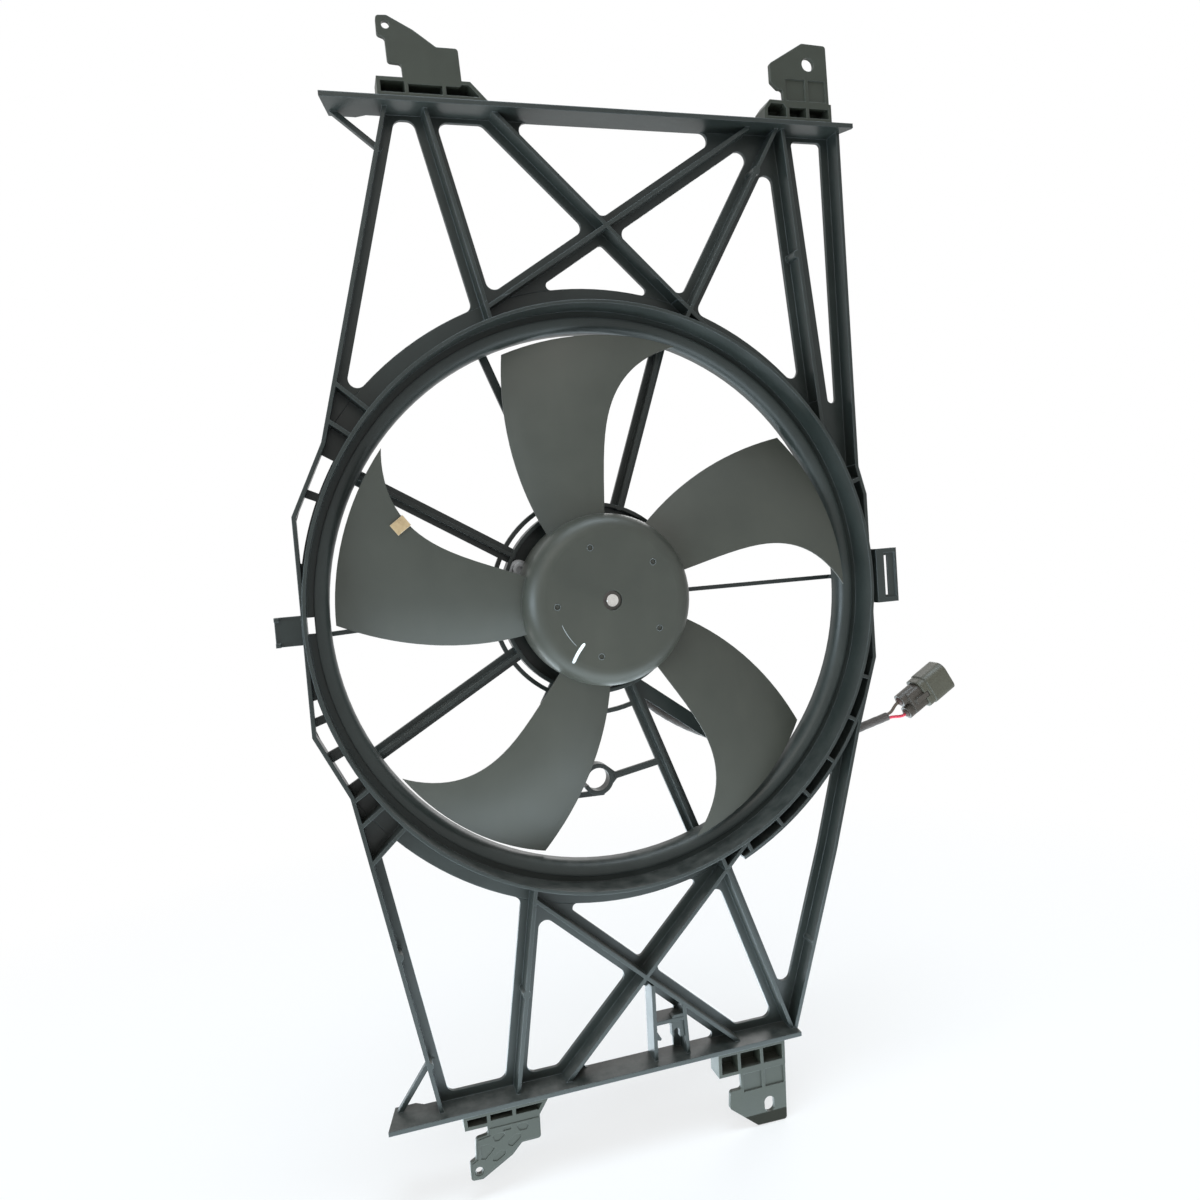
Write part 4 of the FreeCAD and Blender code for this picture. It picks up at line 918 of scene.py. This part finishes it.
@dataclass
class FanWheel:
    """Fan wheel, its balance clip and the marks on its hub."""

    face_y: float = 0.002
    edge_radius: float = 0.012
    hub_radius: float = 0.057
    dimple_count: int = 5
    dimple_circle: float = 0.0372
    dimple_radius: float = 0.002
    dimple_angle: float = 37.8
    rim_half_width: float = 0.0004
    rim_crest: float = 0.0001
    rim_sunk: float = 0.0002
    rim_height: float = 0.00022
    mark_start: tuple[float, float] = (-0.0208, -0.0258)
    mark_end: tuple[float, float] = (-0.0298, -0.0382)
    mark_width: float = 0.0024
    mark_height: float = 0.00012
    mark_bow: float = 0.04
    scuff_start: tuple[float, float] = (-0.0352, -0.0125)
    scuff_middle: tuple[float, float] = (-0.0325, -0.0205)
    scuff_end: tuple[float, float] = (-0.0260, -0.0278)
    scuff_width: float = 0.0006
    scuff_height: float = 0.00006
    stroke_steps: int = 24
    stroke_columns: int = 8
    stroke_sunk: float = 0.00003
    stroke_tip: float = 0.15

    def hub_surface(self, x: float, z: float, proud: float) -> Vector:
        """Point on the front of the hub.

        Args:
            x: Place across the hub.
            z: Place up the hub.
            proud: Height above the surface.

        Returns:
            The point, on the flat face or on the rounded edge.
        """
        radius = math.hypot(x, z)
        flat = self.hub_radius - self.edge_radius
        over = max(0.0, radius - flat)
        drop = self.edge_radius - math.sqrt(max(self.edge_radius ** 2 - over ** 2, 0.0))
        normal = Vector((0.0, -1.0, 0.0))
        if over > 0.0:
            lean = over / self.edge_radius
            normal = Vector((x / radius * lean, -math.sqrt(1 - lean * lean), z / radius * lean))
        return Vector((x, self.face_y + drop, z)) + normal * proud

    def stroke(self, name: str, line: Sequence[tuple[float, float]], width: float,
               height: float) -> bpy.types.Object:
        """Thin raised stroke that follows the hub.

        Args:
            name: Name of the piece.
            line: Points (x, z) along its middle.
            width: Full width.
            height: Height at its middle.

        Returns:
            The stroke.
        """
        mesh = bmesh.new()
        mesh.loops.layers.uv.new("UVMap")
        rows, columns, last = [], self.stroke_columns, len(line) - 1
        for index, (x, z) in enumerate(line):
            before, after = line[max(index - 1, 0)], line[min(index + 1, last)]
            heading = Vector((after[0] - before[0], after[1] - before[1])).normalized()
            taper = math.sqrt(max(0.0, 1 - (2 * index / last - 1) ** 8))
            row = []
            for k in range(columns + 1):
                offset = (k / columns - 0.5) * width * max(taper, self.stroke_tip)
                lift = height * (1 - (2 * k / columns - 1) ** 4) * taper - self.stroke_sunk
                point = self.hub_surface(x - heading.y * offset, z + heading.x * offset, lift)
                row.append(mesh.verts.new(point))
            rows.append(row)
        unwrap(mesh, skin(mesh, rows, False), [index / last for index in range(last + 1)], columns)
        return make_piece(name, mesh)

    def dimple_rim(self, index: int) -> bpy.types.Object:
        """Low rim thrown up round one ejector mark of the hub.

        Args:
            index: Which mark, from 0.

        Returns:
            The rim.
        """
        turn = math.radians(self.dimple_angle + 360.0 / self.dimple_count * index)
        x, z = self.dimple_circle * math.cos(turn), self.dimple_circle * math.sin(turn)
        reach, half, crest = self.dimple_radius, self.rim_half_width, self.rim_crest
        profile = [(-self.rim_sunk, reach - half), (self.rim_height, reach - crest),
                   (self.rim_height, reach + crest), (-self.rim_sunk, reach + half)]
        return turned_piece(f"hub_dimple_rim_{index + 1}", profile, Vector((x, self.face_y, z)),
                            Vector((0.0, -1.0, 0.0)), 28)

    def build(self) -> list[tuple[bpy.types.Object, Finish]]:
        """Build the paint mark, the scuff and the dimple rims, each with its finish."""
        shares = [i / self.stroke_steps for i in range(self.stroke_steps + 1)]
        start, end = Vector(self.mark_start), Vector(self.mark_end)
        bow = Vector((end.y - start.y, start.x - end.x)) * self.mark_bow
        mark = [tuple(start.lerp(end, t) + bow * math.sin(math.pi * t)) for t in shares]
        a, b, c = (Vector(p) for p in (self.scuff_start, self.scuff_middle, self.scuff_end))
        scuff = [tuple(a * (1 - t) ** 2 + b * 2 * t * (1 - t) + c * t * t) for t in shares]
        # The dimple rims take a lighter plastic that paints a highlight round each mark.
        rims = [(self.dimple_rim(index), DIMPLE_RIM_HIGHLIGHT) for index in range(self.dimple_count)]
        return [(self.stroke("hub_paint_mark", mark, self.mark_width, self.mark_height), MARK_PAINT),
                (self.stroke("hub_scuff_line", scuff, self.scuff_width, self.scuff_height), CHALK), *rims]

    def dress(self, wardrobe: Wardrobe) -> None:
        """Finish the wheel's nodes and put the marks on it."""
        wardrobe.dress_node("fan_wheel", WHEEL_PLASTIC)
        wardrobe.dress_node("balance_clip", CLIP_STEEL)
        wardrobe.dress_node("hub_retainer", DARK_STEEL)
        for piece, finish in self.build():
            wardrobe.enter(piece, finish, Slot.WHEEL, Body.ROTOR)


@dataclass
class Motor:
    """Motor behind the wheel."""

    can_radius: float = 0.046
    back_y: float = 0.082
    crimp_count: int = 4
    crimp_start: float = 22.5
    crimp_width: float = 0.007
    crimp_reach: float = 0.0030
    crimp_foot: float = 0.004
    crimp_steps: int = 4
    cap_thickness: float = 0.003
    sheet: float = 0.0012
    skip: float = 0.0001

    def crimp(self, angle: float) -> bpy.types.Object:
        """Bent-over tongue of the can that holds the end cap.

        Args:
            angle: Place round the can, in degrees.

        Returns:
            The tongue.
        """
        outer, cap, foot = self.can_radius, self.back_y + self.cap_thickness, self.back_y - self.crimp_foot
        tip, sheet, skip = outer - self.crimp_reach, self.sheet, self.skip
        profile = [(foot, outer + skip), (cap - 4 * skip, outer + skip), (cap + skip, outer - 4 * skip),
                   (cap + skip, tip), (cap + sheet, tip), (cap + sheet, outer + 2 * skip),
                   (cap + sheet - 6 * skip, outer + sheet), (foot, outer + sheet)]
        mesh = bmesh.new()
        half = self.crimp_width / 2 / outer
        rows = []
        for k in range(self.crimp_steps + 1):
            turn = math.radians(angle) + half * (2 * k / self.crimp_steps - 1)
            rows.append([mesh.verts.new((r * math.cos(turn), y, r * math.sin(turn))) for y, r in profile])
        skin(mesh, rows, True)
        mesh.faces.new(rows[0])
        mesh.faces.new(list(reversed(rows[-1])))
        return make_piece(f"can_crimp_{round(angle)}", mesh, smooth=False)

    def dress(self, wardrobe: Wardrobe) -> None:
        """Finish the motor's nodes and add the crimped tongues."""
        for name, finish in (("motor_shaft", BRIGHT_STEEL), ("armature_core", LAMINATION),
                             ("armature_windings", COPPER), ("commutator", COPPER),
                             ("motor_can", ZINC_STEEL), ("motor_end_cap", ZINC_STEEL),
                             ("field_magnets", FERRITE), ("front_bearing", BRONZE),
                             ("rear_bearing", BRONZE), ("brush_holder", PHENOLIC),
                             ("upper_brush", CARBON), ("lower_brush", CARBON),
                             ("upper_brush_spring", BRIGHT_STEEL), ("lower_brush_spring", BRIGHT_STEEL),
                             ("motor_screws", ZINC_STEEL)):
            wardrobe.dress_node(name, finish)
        for i in range(self.crimp_count):
            piece = self.crimp(self.crimp_start + 360 / self.crimp_count * i)
            wardrobe.enter(piece, ZINC_STEEL, Slot.ZINC, Body.FRAME)


@dataclass
class Pigtail:
    """Sleeved two-core lead, its wires, seals and plug."""

    sleeve_radius: float = 0.0032
    wire_radius: float = 0.00115
    tape_pitch: float = 0.0085
    tape_step: float = 0.00022
    tape_lap: float = 0.93
    tape_inset: float = 0.00012
    barrel_spacing: float = 0.0112
    connector_angle: float = 30.6
    connector_place: tuple[float, float, float] = (0.2401, 0.045, -0.1056)
    wire_offset: float = 0.0014
    wire_root: float = 0.004
    wire_lead: float = 0.0042
    wire_spread: float = 0.4
    wire_approach: float = 0.0044
    wire_depth: float = 0.003
    sleeve_spacing: float = 0.0008
    wire_spacing: float = 0.0006

    def controls(self) -> list[Vector]:
        """Control points of the sleeve's line, from the grommet to the sleeve's end."""
        return [Vector(p) for p in ((0.01967, 0.062, -0.04635), (0.029, 0.060, -0.072),
                                    (0.056, 0.0565, -0.095), (0.092, 0.055, -0.113),
                                    (0.131, 0.054, -0.131), (0.172, 0.051, -0.127),
                                    (0.203, 0.047, -0.117), (0.226, 0.045, -0.111))]

    @property
    def axis(self) -> Vector:
        """Direction in which the plug points."""
        turn = math.radians(self.connector_angle)
        return Vector((math.cos(turn), 0.0, math.sin(turn)))
    def barrel(self, side: int) -> Vector:
        """Mouth of the plug's upper barrel for side 1, and of the lower one for -1."""
        across = Vector((-self.axis.z, 0.0, self.axis.x)) * side * self.barrel_spacing / 2
        return Vector(self.connector_place) + across
    def wire_controls(self, side: int) -> list[Vector]:
        """Control points of one wire's line.

        Args:
            side: 1 for the upper wire, -1 for the lower one.

        Returns:
            Points from inside the sleeve to inside the plug's barrel.
        """
        sleeve = self.controls()
        heading = (sleeve[-1] - sleeve[-2]).normalized()
        offset = Vector((-heading.z, 0.0, heading.x)).normalized() * side * self.wire_offset
        start, end = sleeve[-1] + offset, self.barrel(side)
        return [start - heading * self.wire_root, start,
                start + heading * self.wire_lead + offset * self.wire_spread,
                end - self.axis * self.wire_approach, end, end + self.axis * self.wire_depth]

    def sleeve_surface(self, distance: float, angle: float) -> float:
        """Radius of the wound tape, which steps at each overlap."""
        phase = (distance / self.tape_pitch + angle / math.tau) % 1.0
        step = phase if phase < self.tape_lap else (1.0 - phase) / (1.0 - self.tape_lap)
        return self.sleeve_radius - self.tape_inset + self.tape_step * step

    def build(self) -> tuple[bpy.types.Object, list[bpy.types.Object], list[Vector]]:
        """Build the sleeve and the two wires.

        Returns:
            The sleeve, its wires and the points of its line.
        """
        line = route_points("sleeve_line", self.controls(), self.sleeve_spacing)
        sleeve = tube_piece("cable_sleeve_tape", line, self.sleeve_surface, 32)
        wires = []
        for name, side in (("upper_brown_wire", 1), ("lower_red_wire", -1)):
            points = route_points(name + "_line", self.wire_controls(side), self.wire_spacing)
            wires.append(tube_piece(name, points, lambda distance, angle: self.wire_radius, 18))
        return sleeve, wires, line

    def seal(self, side: int) -> bpy.types.Object:
        """Ribbed rubber seal in the mouth of a barrel.

        Args:
            side: 1 for the upper barrel, -1 for the lower one.

        Returns:
            The seal.
        """
        core = self.wire_radius + 0.00005
        profile = [(0.0, core), (-0.0016, core), (-0.0019, core + 0.0005), (-0.0016, core + 0.0013),
                   (-0.0008, core + 0.0015), (-0.0005, core + 0.0022), (0.0, core + 0.0023)]
        name = "upper_wire_seal" if side > 0 else "lower_wire_seal"
        return turned_piece(name, profile, self.barrel(side), self.axis)

    def dress(self, wardrobe: Wardrobe) -> None:
        sleeve, wires, line = self.build()
        wardrobe.enter(sleeve, SLEEVE_TAPE, Slot.SLEEVE, Body.FRAME, "cable_sleeve")
        wardrobe.enter(wires[0], BROWN_INSULATION, Slot.BLACK, Body.FRAME, "black_wire")
        wardrobe.enter(wires[1], RED_INSULATION, Slot.RED, Body.FRAME, "red_wire")
        seals = [self.seal(side) for side in (1, -1)]
        for seal in seals:
            wardrobe.enter(seal, SEAL_RUBBER, Slot.RUBBER, Body.FRAME)
        for name, finish in (("cable_grommet", RUBBER), ("connector_rear", PLUG_DARK),
                             ("connector_shell", PLUG_OLIVE), ("connector_terminals", TIN_BRASS)):
            wardrobe.dress_node(name, finish)
        LOG.info("laid a lead of %.3f m", path_length(line))


# Studio

@dataclass
class PhotoCamera:
    """Camera that stands where the photograph was taken."""

    place: tuple[float, float, float] = (-0.1756, -0.5707, 0.0357)
    azimuth: float = -16.25
    elevation: float = 3.33
    roll: float = -4.324
    lens: float = 27.78

    def build(self) -> bpy.types.Object:
        """Create the camera and make it the scene's own."""
        azimuth, elevation, roll = (math.radians(v) for v in (self.azimuth, self.elevation, self.roll))
        back = Vector((math.sin(azimuth) * math.cos(elevation), -math.cos(azimuth) * math.cos(elevation),
                       math.sin(elevation)))
        right = Vector((math.cos(azimuth), math.sin(azimuth), 0.0))
        up = back.cross(right)
        tilted_right = right * math.cos(roll) + up * math.sin(roll)
        tilted_up = up * math.cos(roll) - right * math.sin(roll)
        data = bpy.data.cameras.new("photo_camera")
        data.lens = self.lens
        data.sensor_width = 36.0
        data.clip_start, data.clip_end = 0.01, 100.0
        camera = linked("photo_camera", data)
        turn = Matrix((tilted_right, tilted_up, back)).transposed().to_4x4()
        camera.matrix_world = Matrix.Translation(Vector(self.place)) @ turn
        bpy.context.scene.camera = camera
        return camera


@dataclass(frozen=True)
class SoftLight:
    """Rectangular soft light aimed at a point."""

    name: str
    place: tuple[float, float, float]
    aim: tuple[float, float, float]
    size: tuple[float, float]
    power: float
    colour: Colour

    def build(self) -> bpy.types.Object:
        """Create the light."""
        data = bpy.data.lights.new(self.name, "AREA")
        data.shape = "RECTANGLE"
        data.size, data.size_y = self.size
        data.energy = self.power
        data.color = self.colour
        light = linked(self.name, data)
        light.visible_camera = False
        place = Vector(self.place)
        turn = (Vector(self.aim) - place).to_track_quat("-Z", "Y")
        light.matrix_world = Matrix.Translation(place) @ turn.to_matrix().to_4x4()
        return light


@dataclass
class Studio:
    """Pale floor, plain soft light and white surroundings."""

    floor_drop: float = 0.0006
    floor_reach: float = 30.0
    surround: float = 0.42
    lights: tuple[SoftLight, ...] = (
        SoftLight("front_key", (-0.9, -2.2, 1.5), (0.0, 0.0, 0.0), (1.8, 1.2), 15.0, (1.0, 0.96, 0.88)),
        SoftLight("left_window", (-1.9, -0.75, 0.0), (0.0, 0.0, 0.0), (1.2, 0.7), 34.0, (0.72, 0.88, 1.0)),
        SoftLight("top_window", (0.1, -0.35, 1.7), (0.0, 0.05, 0.0), (1.4, 0.9), 26.0, (0.76, 0.90, 1.0)),
        SoftLight("floor_panel", (0.0, 0.10, -0.366), (0.0, 0.10, 1.0), (0.7, 0.9), 7.0, (0.76, 0.91, 1.0)),
        SoftLight("rear_fill", (1.5, 1.9, 1.0), (0.0, 0.0, 0.0), (1.6, 1.2), 16.0, (1.0, 1.0, 1.0)),
    )

    def floor(self, height: float) -> bpy.types.Object:
        """Wide plain floor.

        Args:
            height: Level of the floor.

        Returns:
            The floor.
        """
        mesh = bmesh.new()
        reach, parts = self.floor_reach, 8
        grid = [[mesh.verts.new((reach * (2 * i / parts - 1), reach * (2 * j / parts - 1), height))
                 for i in range(parts + 1)] for j in range(parts + 1)]
        skin(mesh, grid, False)
        floor = make_piece("studio_floor", mesh, smooth=False)
        floor.data.materials.append(GROUND.material())
        floor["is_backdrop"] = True
        return floor

    def sky(self) -> None:
        """White world for the camera, softer surroundings for the light."""
        world = bpy.data.worlds.new("studio_surround")
        bpy.context.scene.world = world
        world.use_nodes = True
        world.node_tree.nodes.clear()
        tree = Tree(world.node_tree)
        path = tree.add("ShaderNodeLightPath")
        shown = tree.add("ShaderNodeBackground", {"Color": (1.0, 1.0, 1.0), "Strength": 1.0})
        soft = tree.add("ShaderNodeBackground", {"Color": (0.93, 0.97, 1.0), "Strength": self.surround})
        seen = tree.math("MAXIMUM", path.outputs["Is Camera Ray"], path.outputs["Is Transmission Ray"])
        seen = tree.math("MAXIMUM", seen, path.outputs["Is Glossy Ray"])
        blend = tree.add("ShaderNodeMixShader", {0: seen, 1: soft.outputs[0], 2: shown.outputs[0]})
        tree.add("ShaderNodeOutputWorld", {"Surface": blend.outputs[0]})

    def build(self, lowest: float) -> None:
        """Build the floor, the world and the lights.

        Args:
            lowest: Level of the object's lowest point.
        """
        self.floor(lowest - self.floor_drop)
        self.sky()
        for light in self.lights:
            light.build()
        bpy.context.scene.view_settings.view_transform = "Standard"
        LOG.info("lit the studio with %d lights", len(self.lights))


def main() -> None:
    """Dress the fan, lay its lead and light it."""
    logging.basicConfig(level=logging.INFO, format="%(message)s")
    packed_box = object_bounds()
    PhotoCamera().build()
    wardrobe = Wardrobe(EffectLibrary())
    Pigtail().dress(wardrobe)
    RibbedFrame().dress(wardrobe)
    FanWheel().dress(wardrobe)
    Motor().dress(wardrobe)
    Studio().build(packed_box[0].z)


if __name__ == "__main__":
    main()
